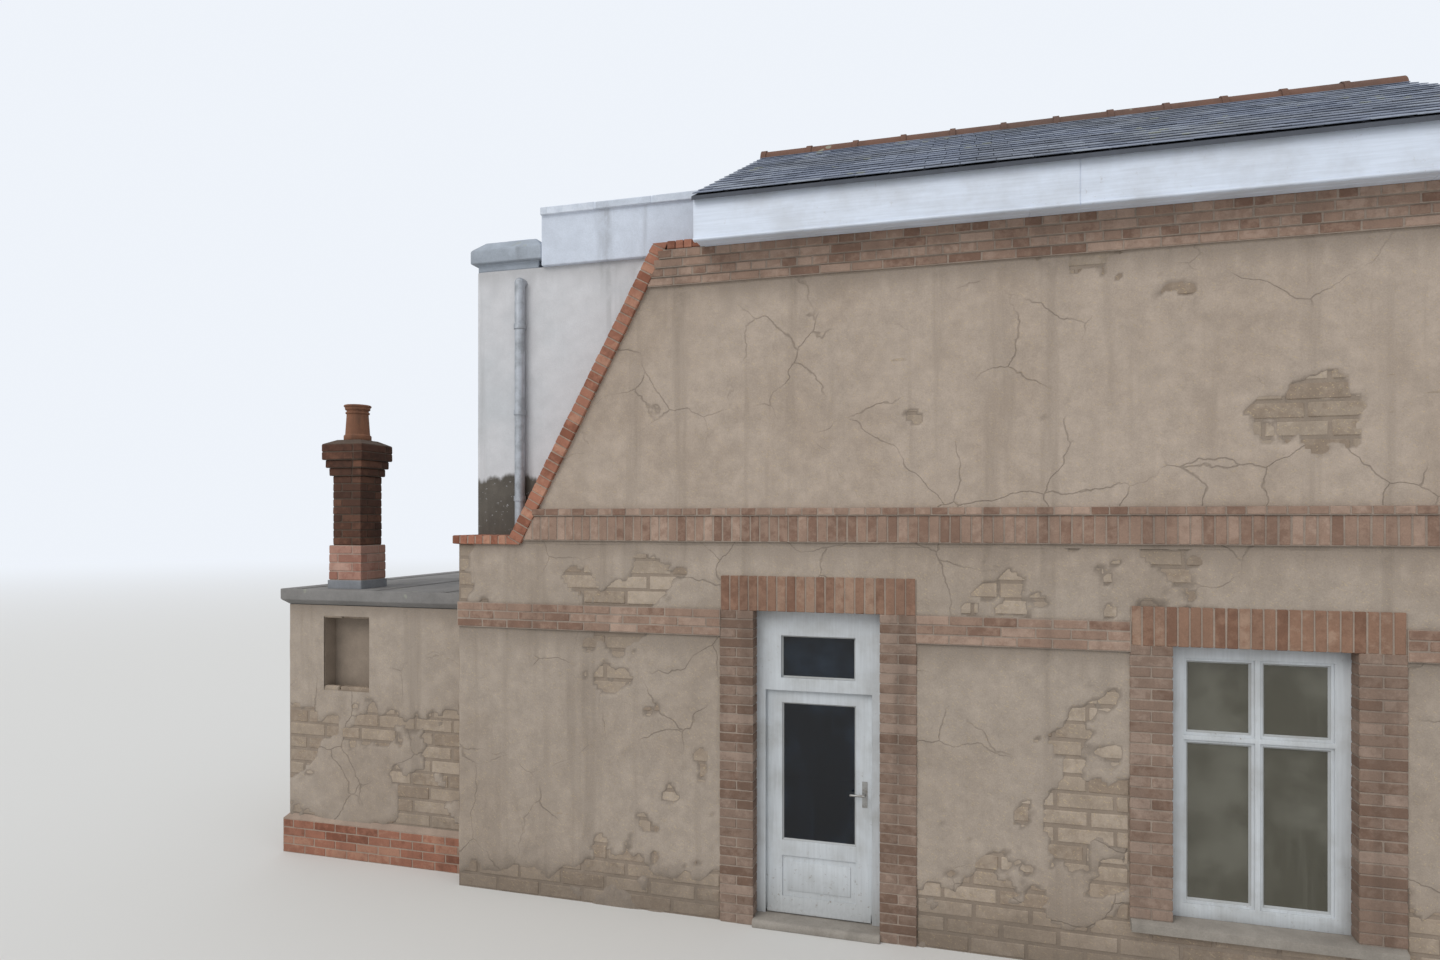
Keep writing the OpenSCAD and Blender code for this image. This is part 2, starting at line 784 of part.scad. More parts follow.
module door_frame() {
    inner_w = [door_x[0] + frame_w, door_x[1] - frame_w];
    stop_y = leaf_y[0] - leaf_gap;
    color("gainsboro") difference() {
        block(door_x, frame_y, [ground_t, door_h]);
        block([inner_w[0] + stop_w, inner_w[1] - stop_w], [frame_y[0] - trim, frame_y[1] + trim],
            [ground_t - trim, transom_z - stop_w]);
        block(inner_w, [stop_y, frame_y[1] + trim], [ground_t - trim, transom_z]);
        block(leaf_glass_x, [frame_y[0] - trim, frame_y[1] + trim], light_glass_z);
        light_glass();
    }
}

module leaf_pane() {
    block([leaf_glass_x[0] - groove, leaf_glass_x[1] + groove], leaf_glass_y,
        [leaf_glass_z[0] - groove, leaf_glass_z[1] + groove]);
}

// The sunk margin of the lower panel, as deep as its recess on both faces
module panel_cut(z) {
    mid_x = [leaf_glass_x[0] + panel_margin, leaf_glass_x[1] - panel_margin];
    mid_z = [z[0] + panel_margin, z[1] - panel_margin];
    raised = panel_recess / 2;
    for (y = [[leaf_y[0] - trim, leaf_y[0] + panel_recess],
              [leaf_y[1] - panel_recess, leaf_y[1] + trim]])
        difference() {
            block(leaf_glass_x, y, z);
            block(mid_x, [leaf_y[0] + raised, leaf_y[1] - raised], mid_z);
        }
}

// The leaf, with its glazed upper part, raised lower panel, weather bar and three hinges
module door_leaf() {
    panel_z = [leaf_z[0] + leaf_rail_h, leaf_glass_z[0] - leaf_rail_h];
    bar_x = [leaf_x[0] + stop_w + leaf_gap, leaf_x[1] - stop_w - leaf_gap];
    color("gainsboro") {
        difference() {
            block(leaf_x, leaf_y, leaf_z);
            block(leaf_glass_x, [leaf_y[0] - trim, leaf_y[1] + trim], leaf_glass_z);
            panel_cut(panel_z);
            leaf_pane();
        }
        along_x(bar_x) polygon([[leaf_y[0], leaf_z[0]], [leaf_y[0] - bar_out, leaf_z[0]],
            [leaf_y[0] - bar_out, leaf_z[0] + bar_h / 4], [leaf_y[0], leaf_z[0] + bar_h]]);
        for (z = [leaf_z[0] + hinge_h, (leaf_z[0] + leaf_z[1]) / 2, leaf_z[1] - 2 * hinge_h]) {
            translate([hinge_x, hinge_y, z]) cylinder(r = knuckle_r, h = hinge_h);
            block([hinge_x, leaf_x[0] + stile_w / 3], [leaf_y[1], leaf_y[1] + trim],
                [z, z + hinge_h]);
        }
    }
}

module door_glass() {
    color("slategray") leaf_pane();
}

// A lever and its plate, standing on one face of the leaf
module lever() {
    plate_w = 40;
    plate_h = 200;
    neck = 45;
    lever_r = 9;
    lever_l = 110;
    block([-plate_w / 2, plate_w / 2], [0, trim], [-plate_h / 2, plate_h / 2]);
    rotate([-90, 0, 0]) cylinder(r = lever_r, h = neck);
    translate([0, neck, 0]) rotate([0, -90, 0]) cylinder(r = lever_r, h = lever_l);
    translate([0, neck, 0]) sphere(r = lever_r);
}

module door_handle() {
    x = leaf_x[1] - stile_w / 2;
    z = ground_t + handle_h;
    color("dimgray") {
        translate([x, leaf_y[1], z]) lever();
        translate([x, leaf_y[0], z]) mirror([0, 1, 0]) lever();
    }
}

// The four lights of the window, each grown by the same margin
module window_lights(y, grow) {
    reach = frame_w + sash_w;
    half = glazing_bar_w / 2;
    cols = [[window_span[0] + reach, window_mid - half], [window_mid + half, window_span[1] - reach]];
    rows = [[sill_z + reach, window_transom_z],
        [window_transom_z + glazing_bar_w, window_top - reach]];
    for (col = cols, row = rows)
        block([col[0] - grow, col[1] + grow], y, [row[0] - grow, row[1] + grow]);
}

module window_frame() {
    sunk = 15;
    color("gainsboro") difference() {
        block(window_span, frame_y, [sill_z, window_top]);
        window_lights([frame_y[0] - trim, frame_y[1] + trim], 0);
        window_lights([frame_y[0] - trim, frame_y[0] + sunk], sash_w / 3);
        window_lights(glass_y, groove);
    }
}

module fixed_glass() {
    color("slategray") {
        light_glass();
        window_lights(glass_y, groove);
    }
}

floor_slab();
threshold();
front_wall_left();
front_wall_middle();
front_wall_right();
wall_over_door();
walls_at_window();
brick_jambs();
lintels();
window_sill();
left_end_wall();
right_end_wall();
back_wall();
upper_floor();
string_bands();
upper_front_wall();
wall_coping();
upper_back_wall();
left_gable_wall();
right_gable_wall();
fascias();
soffits();
roof_front();
roof_back();
ridge_tiles();
room_front_wall();
room_left_wall();
room_back_wall();
room_roof();
room_parapet();
stack();
stack_cap();
downpipe();
wing_front_wall();
wing_left_wall();
wing_back_wall();
wing_roof();
wing_plinth();
flue_base();
flue_shaft();
flue_head();
flue_pot();
door_frame();
door_leaf();
door_glass();
door_handle();
window_frame();
fixed_glass();
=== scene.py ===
"""The finish of the earth-walled house: adobe blocks under a worn mud coat, brick dressings,
slates, limewash, painted joinery and glass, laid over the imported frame. Metres; X along the
front, Y into the house, Z up."""
import json
import math

import bmesh
import bpy
import numpy as np
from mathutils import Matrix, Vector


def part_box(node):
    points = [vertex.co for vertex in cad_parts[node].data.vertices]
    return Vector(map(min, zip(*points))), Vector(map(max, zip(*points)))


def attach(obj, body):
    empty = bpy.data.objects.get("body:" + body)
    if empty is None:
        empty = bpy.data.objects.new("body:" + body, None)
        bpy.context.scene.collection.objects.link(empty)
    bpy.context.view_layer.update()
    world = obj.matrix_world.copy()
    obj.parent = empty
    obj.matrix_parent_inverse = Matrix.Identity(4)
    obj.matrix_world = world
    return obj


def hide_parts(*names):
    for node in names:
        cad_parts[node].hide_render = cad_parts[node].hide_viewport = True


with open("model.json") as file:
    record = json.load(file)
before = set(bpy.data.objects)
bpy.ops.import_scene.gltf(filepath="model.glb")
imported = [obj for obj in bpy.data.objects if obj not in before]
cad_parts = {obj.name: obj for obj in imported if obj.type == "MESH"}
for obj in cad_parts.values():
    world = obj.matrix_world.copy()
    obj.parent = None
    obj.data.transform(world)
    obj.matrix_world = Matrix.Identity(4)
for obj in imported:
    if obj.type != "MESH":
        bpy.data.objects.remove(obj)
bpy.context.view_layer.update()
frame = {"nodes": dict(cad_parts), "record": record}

# Places that the frame gives
front_low, front_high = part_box("front_wall_left")
right_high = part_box("front_wall_right")[1]
back_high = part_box("back_wall")[1]
wing_low, wing_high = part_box("wing_front_wall")
wing_back_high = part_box("wing_back_wall")[1]
plinth_low, plinth_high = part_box("wing_plinth")
over_door_low, over_door_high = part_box("wall_over_door")
sill_low, sill_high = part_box("window_sill")
slope_low, slope_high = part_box("roof_front")
gable_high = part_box("left_gable_wall")[1]
room_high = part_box("room_left_wall")[1]
stack_low, stack_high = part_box("stack")
cap_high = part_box("stack_cap")[1]
parapet_low, parapet_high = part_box("room_parapet")
coping_low, coping_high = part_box("wall_coping")
frame_low, frame_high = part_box("door_frame")
window_low, window_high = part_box("window_frame")
deck_low, deck_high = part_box("wing_roof")

# Sizes that repeat those of the solids
DRESS_OUT = 0.020
BAND_OUT = 0.030
BAND_LIP = 0.015
BAND_LIP_H = 0.065
COURSE_STEP = 0.010
HEAD_BAND_H = 0.210
EAVES_BAND_H = 0.280
EAVES_COURSES = 4
SOFFIT_Z = 5.300
COPING_T = 0.110
SHOULDER_T = 0.065
PITCH = math.radians(27.5)
ROOF_T = 0.110
PLATE_Z = 5.640
FASCIA_BACK = -0.218
FLUE_HEAD_COURSES = 4
FLUE_HEAD_H = 0.300
FLUE_HEAD_STEPS = 3
PARAPET_W = 0.250
PARAPET_LIP_H = 0.065

LEFT, RIGHT = front_low[0], right_high[0]
FRONT, BACK = 0.0, back_high[1]
RIDGE_Y = (FRONT + BACK) / 2
STOREY_Z = front_high[2]
WALL_T = front_high[1] - front_low[1]
VERGE_X = slope_low[0]
ROOM_Y = stack_low[1]
WING_Y = (wing_low[1], wing_back_high[1])
WING_Z = (plinth_high[2], wing_high[2])
DOOR_X = (frame_low[0], frame_high[0])
DOOR_JAMB_X = (over_door_low[0], over_door_high[0])
DOOR_HEAD_Z = frame_high[2]
WINDOW_X = (window_low[0], window_high[0])
WINDOW_JAMB_X = (sill_low[0], sill_high[0])
WINDOW_TOP_Z = window_high[2]
LINTEL_H = over_door_low[2] - DOOR_HEAD_Z
HEAD_BAND_Z = (DOOR_HEAD_Z - HEAD_BAND_H, DOOR_HEAD_Z)
STOREY_BAND_Z = (STOREY_Z + 0.030, STOREY_Z + 0.300)
EAVES_BAND_Z = SOFFIT_Z - EAVES_BAND_H
EAVES_OUT = BAND_OUT + (EAVES_COURSES - 1) * COURSE_STEP
RAKE_FOOT = (-2.500, STOREY_Z)
RAKE_HEAD = (-1.180, 5.360)
RAKE_ANGLE = math.atan2(RAKE_HEAD[1] - RAKE_FOOT[1], RAKE_HEAD[0] - RAKE_FOOT[0])

# How far a piece goes into what it lies on, and half the gap between two stones or boards
SUNK, STONE_GAP = 0.002, 0.003
rng = np.random.default_rng(20260)
EAST, WEST, NORTH, SOUTH, UP = (1, 0, 0), (-1, 0, 0), (0, 1, 0), (0, -1, 0), (0, 0, 1)
# Along and out of an upright face, by the side that it looks to
SIDES = {"front": (EAST, SOUTH), "back": (EAST, NORTH), "left": (NORTH, WEST),
         "right": (NORTH, EAST)}


def rake_x(z):
    """The raked wall's left edge at a height: a straight line from its foot to its head."""
    return RAKE_FOOT[0] + (z - RAKE_FOOT[1]) / math.tan(RAKE_ANGLE)


def roof_under(y):
    """Height of the roof's underside at a depth: two straight slopes that meet at the ridge."""
    return PLATE_Z + np.minimum(y - FRONT, BACK - y) * math.tan(PITCH)


def linear(colour):
    """A screen colour from 0 to 255 as the linear light that Blender works in."""
    channels = np.array(colour) / 255.0
    light = np.where(channels <= 0.04045, channels / 12.92, ((channels + 0.055) / 1.055) ** 2.4)
    return (*light, 1.0)


def inside(value, span, margin=0.0):
    """Whether a value lies between two ends that are each moved inwards by a margin."""
    return (value > span[0] + margin) & (value < span[1] - margin)


def pairs(edges):
    """Each edge with the next one."""
    return list(zip(edges[:-1], edges[1:]))


# Mesh helpers

def placed(name, data):
    """A new object in the scene, at the origin."""
    made = bpy.data.objects.new(name, data)
    bpy.context.scene.collection.objects.link(made)
    return made


def mesh_piece(name, slot, verts, faces, body="house", smooth=False, **marks):
    """A new piece from whole arrays. Each mark is one number a point, kept as an attribute."""
    mesh = bpy.data.meshes.new(name)
    mesh.from_pydata(verts, [], faces)
    for label, values in marks.items():
        layer = mesh.attributes.new(label, "FLOAT", "POINT")
        layer.data.foreach_set("value", np.asarray(values, dtype=np.float32))
    mesh.polygons.foreach_set("use_smooth", np.full(len(mesh.polygons), smooth))
    mesh.update()
    piece = placed(name, mesh)
    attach(piece, body)
    return piece


def block_template():
    """The 24 corner signs, the axis each corner keeps at full reach, and the 26 faces of a block
    whose twelve edges are cut off."""
    signs = np.array([(x, y, z) for x in (-1, 1) for y in (-1, 1) for z in (-1, 1)])
    corners, kept = np.repeat(signs, 3, axis=0), np.tile(np.eye(3), (8, 1))

    def index(axes, values, keep):
        """Which corner has these signs on these axes and keeps its reach along one axis."""
        sign = dict(zip(axes, values))
        return 3 * (2 * (sign[0] + 1) + (sign[1] + 1) + (sign[2] + 1) // 2) + keep

    faces = []
    for axis in range(3):
        first, second = [a for a in range(3) if a != axis]
        axes = (axis, first, second)
        for side in (-1, 1):
            faces.append([index(axes, (side, a, b), axis)
                          for a, b in ((-1, -1), (1, -1), (1, 1), (-1, 1))])
        for a in (-1, 1):
            for b in (-1, 1):
                faces.append([index(axes, (side, a, b), keep) for side, keep in
                              ((-1, first), (1, first), (1, second), (-1, second))])
    faces += [[3 * i, 3 * i + 1, 3 * i + 2] for i in range(8)]
    points = corners * np.where(kept, 1.0, 0.7)
    turned = []
    for face in faces:
        start, middle, end = points[face[:3]]
        outward = np.dot(np.cross(middle - start, end - start), points[face].mean(axis=0)) > 0
        turned.append(face if outward else face[::-1])
    return corners, kept, turned


CORNERS, KEPT, BLOCK_FACES = block_template()


def blocks(spans, edge, jitter=0.0, shear=0.0):
    """Many edge-cut blocks, each given by its x0, x1, y0, y1, z0 and z1. A corner is the centre
    plus sign times half size, less the edge on the two axes that it gives up. jitter moves each
    corner a little, and shear lifts a block's low-y end along z, as a slate lies. Returns points,
    faces and a random tone for each point."""
    spans = np.asarray(spans, dtype=float)
    low, high, count = spans[:, ::2], spans[:, 1::2], len(spans)
    centre, half = (low + high) / 2, (high - low) / 2
    cut = np.minimum(edge * rng.uniform(0.7, 1.4, (count, 1)),
                     half.min(axis=1, keepdims=True) * 0.6)
    reach = half[:, None, :] - cut[:, None, :] * (1.0 - KEPT[None])
    wobble = np.repeat(rng.uniform(-1, 1, (count, 8, 3)), 3, axis=1) * jitter
    points = centre[:, None, :] + CORNERS[None] * reach + wobble
    points[:, :, 2] += (high[:, None, 1] - points[:, :, 1]) * shear
    faces = [[i + 24 * block for i in face] for block in range(count) for face in BLOCK_FACES]
    return points.reshape(-1, 3), faces, np.repeat(rng.uniform(0, 1, count), 24)


def laid(part, origin, across, up, out):
    """A part's local points u, v, w carried to the house: origin plus u, v and w along three
    axes. Its faces are turned round where the axes make a mirror image."""
    points, faces, tone = part
    axes = np.array([across, up, out], dtype=float)
    if np.linalg.det(axes) < 0:
        faces = [face[::-1] for face in faces]
    return np.asarray(origin, dtype=float) + points @ axes, faces, tone


def laid_on(side, place, part):
    """A part laid on an upright face, which looks to a side and stands at a place."""
    across, out = SIDES[side]
    return laid(part, np.abs(out) * place, across, UP, out)


def joined(parts):
    """Several sets of points, faces and tones as one, with the faces' indices moved on."""
    points, faces, tones = zip(*parts)
    starts = np.cumsum([0] + [len(part) for part in points])
    faces = [[i + start for i in face] for start, part in zip(starts.tolist(), faces)
             for face in part]
    return np.concatenate(points), faces, np.concatenate(tones)


def toned_piece(name, slot, parts):
    """One piece of many parts that carry their tones."""
    points, faces, tone = joined(parts)
    return mesh_piece(name, slot, points, faces, tone=tone)


def course_levels(foot, top, count, joint):
    """The lowest and highest level of each of several equal courses, less half a joint."""
    step = (top - foot) / count
    return [(foot + row * step + joint / 2, foot + (row + 1) * step - joint / 2)
            for row in range(count)]


def courses(spans, foot, top, course_h, unit, joint, depth, out):
    """Blocks laid in courses: spans(v) gives the open stretches at a height, and each course
    starts half a unit on from the one below. depth is how far a block goes in. stray, shortest
    and least are shares of the unit's length, and of how far a block stands out."""
    laid_blocks, stray, shortest, least = [], 0.06, 0.22, 0.55
    count = max(1, round((top - foot) / course_h))
    for row, (v0, v1) in enumerate(course_levels(foot, top, count, joint)):
        for start, end in spans((v0 + v1) / 2):
            if end - start < joint * 3:
                continue
            shift = unit * (0.5 if row % 2 else 0.0) + rng.uniform(-stray, stray) * unit
            cuts = np.arange(start - unit + shift % unit, end, unit)
            cuts = cuts[inside(cuts, (start, end), unit * shortest)]
            edges = np.concatenate([[start], cuts, [end]])
            reach = out * rng.uniform(least, 1.0, len(edges) - 1)
            laid_blocks += [(u0 + joint / 2, u1 - joint / 2, v0, v1, -depth, w)
                            for (u0, u1), w in zip(pairs(edges), reach)]
    return np.array(laid_blocks)


def stones(start, end, length):
    """Stretches of nearly equal length with a joint between them."""
    edges = np.linspace(start, end, max(2, round((end - start) / length) + 1))
    return [(a + STONE_GAP, b - STONE_GAP) for a, b in pairs(edges)]


def carried(profile, x_span):
    """A profile of Y and Z, anticlockwise seen from the right, carried along X and closed at both
    ends. Returns points and faces."""
    profile, count = np.array(profile, dtype=float), len(profile)
    points = np.concatenate([np.column_stack([np.full(count, x), profile]) for x in x_span])
    this = np.arange(count)
    turn = np.roll(this, -1)
    sides = np.stack([this, turn, turn + count, this + count], axis=1)
    return points, sides.tolist() + [list(range(count))[::-1], list(range(count, 2 * count))]


LATTICE = (97, 89)


def smooth_step(x, low, high):
    """0 below low, 1 above high, and a smooth rise between."""
    t = np.clip((x - low) / (high - low), 0, 1)
    return t * t * (3 - 2 * t)


def clouds(u, v, size, seed, octaves=3):
    """Smooth random hills from -1 to 1: lattice values blended by a smooth step, with each octave
    half as wide and half as high as the last."""
    total, height, weight = np.zeros(np.broadcast(u, v).shape), 1.0, 0.0
    for octave in range(octaves):
        lattice = np.random.default_rng(seed + octave).uniform(-1, 1, LATTICE)
        x, y = u / size * 2 ** octave + 31.7, v / size * 2 ** octave + 17.3
        ix, iy = np.floor(x).astype(int), np.floor(y).astype(int)
        fx, fy = smooth_step(x - ix, 0, 1), smooth_step(y - iy, 0, 1)
        a, b, c, d = (lattice[(ix + i) % LATTICE[0], (iy + j) % LATTICE[1]]
                      for j in (0, 1) for i in (0, 1))
        total += height * (a + (b - a) * fx + (c - a) * fy + (a - b - c + d) * fx * fy)
        weight += height
        height *= 0.5
    return total / weight


# Walls of adobe blocks under a coat

BLOCK = {"course_h": 0.125, "unit": 0.39, "joint": 0.016, "depth": 0.05, "out": 0.007}
# Ledges below which the walls and coats get a painted shade, each with the sides that it runs along
BODY_LEDGES = ((HEAD_BAND_Z[0], "front"), (STOREY_BAND_Z[0], "front and back"),
               (EAVES_BAND_Z, "front and back"))
WING_LEDGES = ((deck_low[2], "all round"),)
ROOM_LEDGES = ((stack_high[2], "all round"),)
COAT_RADIUS, COAT_STEP, COAT_WAVE, COAT_SUNK = 0.03, 0.033, 0.005, 0.012
# A point this near to the plane of a wall is on that wall
ON_WALL = 0.03


def soiling_and_shade(points, ledges):
    """Dirt and painted shade from 0 to 1 at each point: splashes of dirt that thin out above the
    foot, a painted shade that fades below each ledge, and a dirt run below each end of the sill.
    Each is a smooth step of the height, made ragged by clouds. A ledge is its height and the sides
    that it runs along."""
    x, y, z = np.moveaxis(points, -1, 0)
    ragged, drawn = clouds(x + y, z, 0.30, 71, 4), clouds(x + y, z * 0.15, 0.07, 75)
    grime_and_shade = 0.85 * (1 - smooth_step(z + 0.20 * ragged, 0.02, 0.45))
    on_front = y < FRONT + 0.05
    sides = {"front": on_front, "front and back": on_front | (y > BACK - 0.05),
             "all round": np.full(y.shape, True)}
    reach = 0.22 + 0.16 * drawn + 0.08 * ragged
    # Painted shade: the wall is darkened below each ledge, where the ledge's shadow falls
    for ledge, where in ledges:
        shade = 1 - smooth_step((ledge - z) / reach, 0.05, 1.0)
        grime_and_shade = np.maximum(grime_and_shade, 0.6 * shade * (sides[where] & (z < ledge + 0.02)))
    for end in WINDOW_JAMB_X:
        run = np.exp(-((x - end) / (0.05 + 0.02 * drawn)) ** 2)
        grime_and_shade = np.maximum(grime_and_shade, 0.9 * run * (on_front & (z < sill_low[2] + 0.02)))
    return np.clip(grime_and_shade, 0, 1)


def wall_of_blocks(name, faces, ledges=BODY_LEDGES):
    """Adobe blocks over several wall faces. Each face gives the side that it looks to, its place,
    its lowest and highest course and the open stretches at a height."""
    points, quads, tone = joined([
        laid_on(side, place, blocks(courses(spans, foot, top, **BLOCK), edge=0.009, jitter=0.0022))
        for side, place, foot, top, spans in faces])
    return mesh_piece(name, "earth_render", points, quads, tone=tone,
                      soil=soiling_and_shade(points, ledges))


def without(start, end, holes):
    """What is left of a stretch when some stretches are taken out."""
    left = [(start, end)]
    for hole_start, hole_end in holes:
        left = [piece for a, b in left for piece in ((a, min(b, hole_start)), (max(a, hole_end), b))
                if piece[1] - piece[0] > 1e-6]
    return left


def front_spans(z):
    """Open stretches of the lower front wall at a height."""
    if inside(z, HEAD_BAND_Z):
        return []
    holes = [DOOR_JAMB_X] if z < DOOR_HEAD_Z + LINTEL_H else []
    if inside(z, (sill_low[2], WINDOW_TOP_Z + LINTEL_H)):
        holes.append(WINDOW_JAMB_X)
    return without(LEFT, RIGHT, holes)


def upper_front_spans(z):
    """Open stretches of the raked front wall at a height, between the bands."""
    return [] if inside(z, STOREY_BAND_Z) or z > EAVES_BAND_Z else [(rake_x(z), RIGHT)]


def gable_spans(z, start, end):
    """The stretch of a gable under the roof at a height, where it isn't too short."""
    under_roof, shortest = 0.06, 0.1
    reach = max(0.0, (z + under_roof - PLATE_Z) / math.tan(PITCH))
    low, high = max(start, FRONT + reach), min(end, BACK - reach)
    return [(low, high)] if high - low > shortest else []


def wing_niche():
    """The niche's stretch along X and its stretch of height, from its box in the record."""
    clear = 0.005
    for opening in frame["record"]["physics"]["openings"]:
        if opening["name"] == "wing_niche":
            low, high = opening["box_m"]
            return (low[0] - clear, high[0] + clear), (low[2] - clear, high[2] + clear)
    raise ValueError("the record has no wing_niche")


def build_walls():
    """Blocks on every outer wall face that shows."""
    ridge_z = roof_under(RIDGE_Y)
    niche_x, niche_z = wing_niche()
    wall_of_blocks("front_blocks", [
        ("front", FRONT, 0.0, STOREY_Z, front_spans),
        ("front", FRONT, STOREY_Z, SOFFIT_Z, upper_front_spans)])
    wall_of_blocks("back_blocks", [
        ("back", BACK, 0.0, STOREY_Z, lambda z: [(LEFT, RIGHT)]),
        ("back", BACK, STOREY_BAND_Z[1], EAVES_BAND_Z, lambda z: [(VERGE_X, RIGHT)])])
    wall_of_blocks("right_end_blocks", [
        ("right", RIGHT, 0.0, ridge_z, lambda z: gable_spans(z, FRONT, BACK))])
    wall_of_blocks("left_end_blocks", [
        ("left", LEFT, 0.0, STOREY_Z,
         lambda z: without(FRONT, BACK, [WING_Y] if z < deck_high[2] else []))])
    wall_of_blocks("left_gable_blocks", [
        ("left", VERGE_X, room_high[2], ridge_z - 0.05,
         lambda z: gable_spans(z, ROOM_Y, gable_high[1]))])
    wall_of_blocks("wing_blocks", [
        ("front", WING_Y[0], *WING_Z,
         lambda z: without(wing_low[0], LEFT, [niche_x] if inside(z, niche_z) else [])),
        ("back", WING_Y[1], *WING_Z, lambda z: [(wing_low[0], LEFT)]),
        ("left", wing_low[0], *WING_Z, lambda z: [WING_Y])], WING_LEDGES)


def rounded_route(corners):
    """Points and outward normals along a plan outline, walked with the outside on the right. Each
    inner corner is a quarter arc."""
    corners, points, normals = np.array(corners, dtype=float), [], []
    along = [(b - a) / np.linalg.norm(b - a) for a, b in pairs(corners)]
    outward = [np.array([way[1], -way[0]]) for way in along]
    last = len(along) - 1
    for i, (way, normal) in enumerate(zip(along, outward)):
        corner = corners[i + 1]
        start = corners[i] + way * (COAT_RADIUS if i else 0)
        end = corner - way * (COAT_RADIUS if i < last else 0)
        count = max(2, int(np.linalg.norm(end - start) / COAT_STEP) + 1)
        t = np.linspace(0, 1, count)[:, None]
        points.append(start + (end - start) * t)
        normals.append(np.repeat(normal[None], count, axis=0))
        if i < last:
            t = np.linspace(0, 1, 7)[1:-1, None]
            after = outward[i + 1]
            arc = normal * np.cos(t * math.pi / 2) + after * np.sin(t * math.pi / 2)
            points.append(corner - normal * COAT_RADIUS - after * COAT_RADIUS + arc * COAT_RADIUS)
            normals.append(arc)
    return np.concatenate(points), np.concatenate(normals)


def cell_corners(grid):
    """The four corners of each cell of a grid, in order round it."""
    return np.stack([grid[:-1, :-1], grid[1:, :-1], grid[1:, 1:], grid[:-1, 1:]], axis=-1)


def coat(name, corners, z_span, keep, ledges, seed, worn=0.35, slot="earth_render",
         thickness=0.012):
    """A trowelled coat along a plan outline: outline point plus normal times a height that is
    thickness with gentle waves and slanting trowel sweeps, sunk behind the wall where the coat has
    worn away. Faces that the keep rule drops, or that lie wholly behind the wall, are left out."""
    route, normals = rounded_route(corners)
    run = np.concatenate([[0], np.cumsum(np.linalg.norm(np.diff(route, axis=0), axis=1))])
    z = np.linspace(*z_span, int((z_span[1] - z_span[0]) / COAT_STEP) + 1)
    u, v = np.meshgrid(run, z, indexing="ij")
    cover = clouds(u, v * 1.3, 0.9, seed, 5) + 0.25 * clouds(u, v, 0.12, seed + 20, 2)
    low_wear = 0.5 * smooth_step(0.55 - v, 0, 0.5)
    present = smooth_step(cover - low_wear + worn, -0.06, 0.05)
    sweeps = clouds(u * 0.9 + v * 0.45, (v * 0.9 - u * 0.45) * 3.5, 0.42, seed + 80)
    hills = COAT_WAVE * (clouds(u, v, 0.5, seed + 40) + 0.6 * sweeps)
    height = present * (thickness + hills) - (1 - present) * COAT_SUNK
    plan = route[:, None] + normals[:, None] * height[..., None]
    points = np.concatenate([plan, v[..., None]], axis=-1)
    centre = (points[:-1, :-1] + points[1:, 1:]) / 2
    shown = keep(*np.moveaxis(centre, -1, 0))
    shown &= cell_corners(height).max(axis=-1) > -COAT_SUNK * 0.6
    quads = cell_corners(np.arange(u.size).reshape(u.shape))[shown]
    used, where = np.unique(quads, return_inverse=True)
    return mesh_piece(name, slot, points.reshape(-1, 3)[used], where.reshape(-1, 4).tolist(),
                      smooth=True, present=present.reshape(-1)[used],
                      soil=soiling_and_shade(points, ledges).reshape(-1)[used])


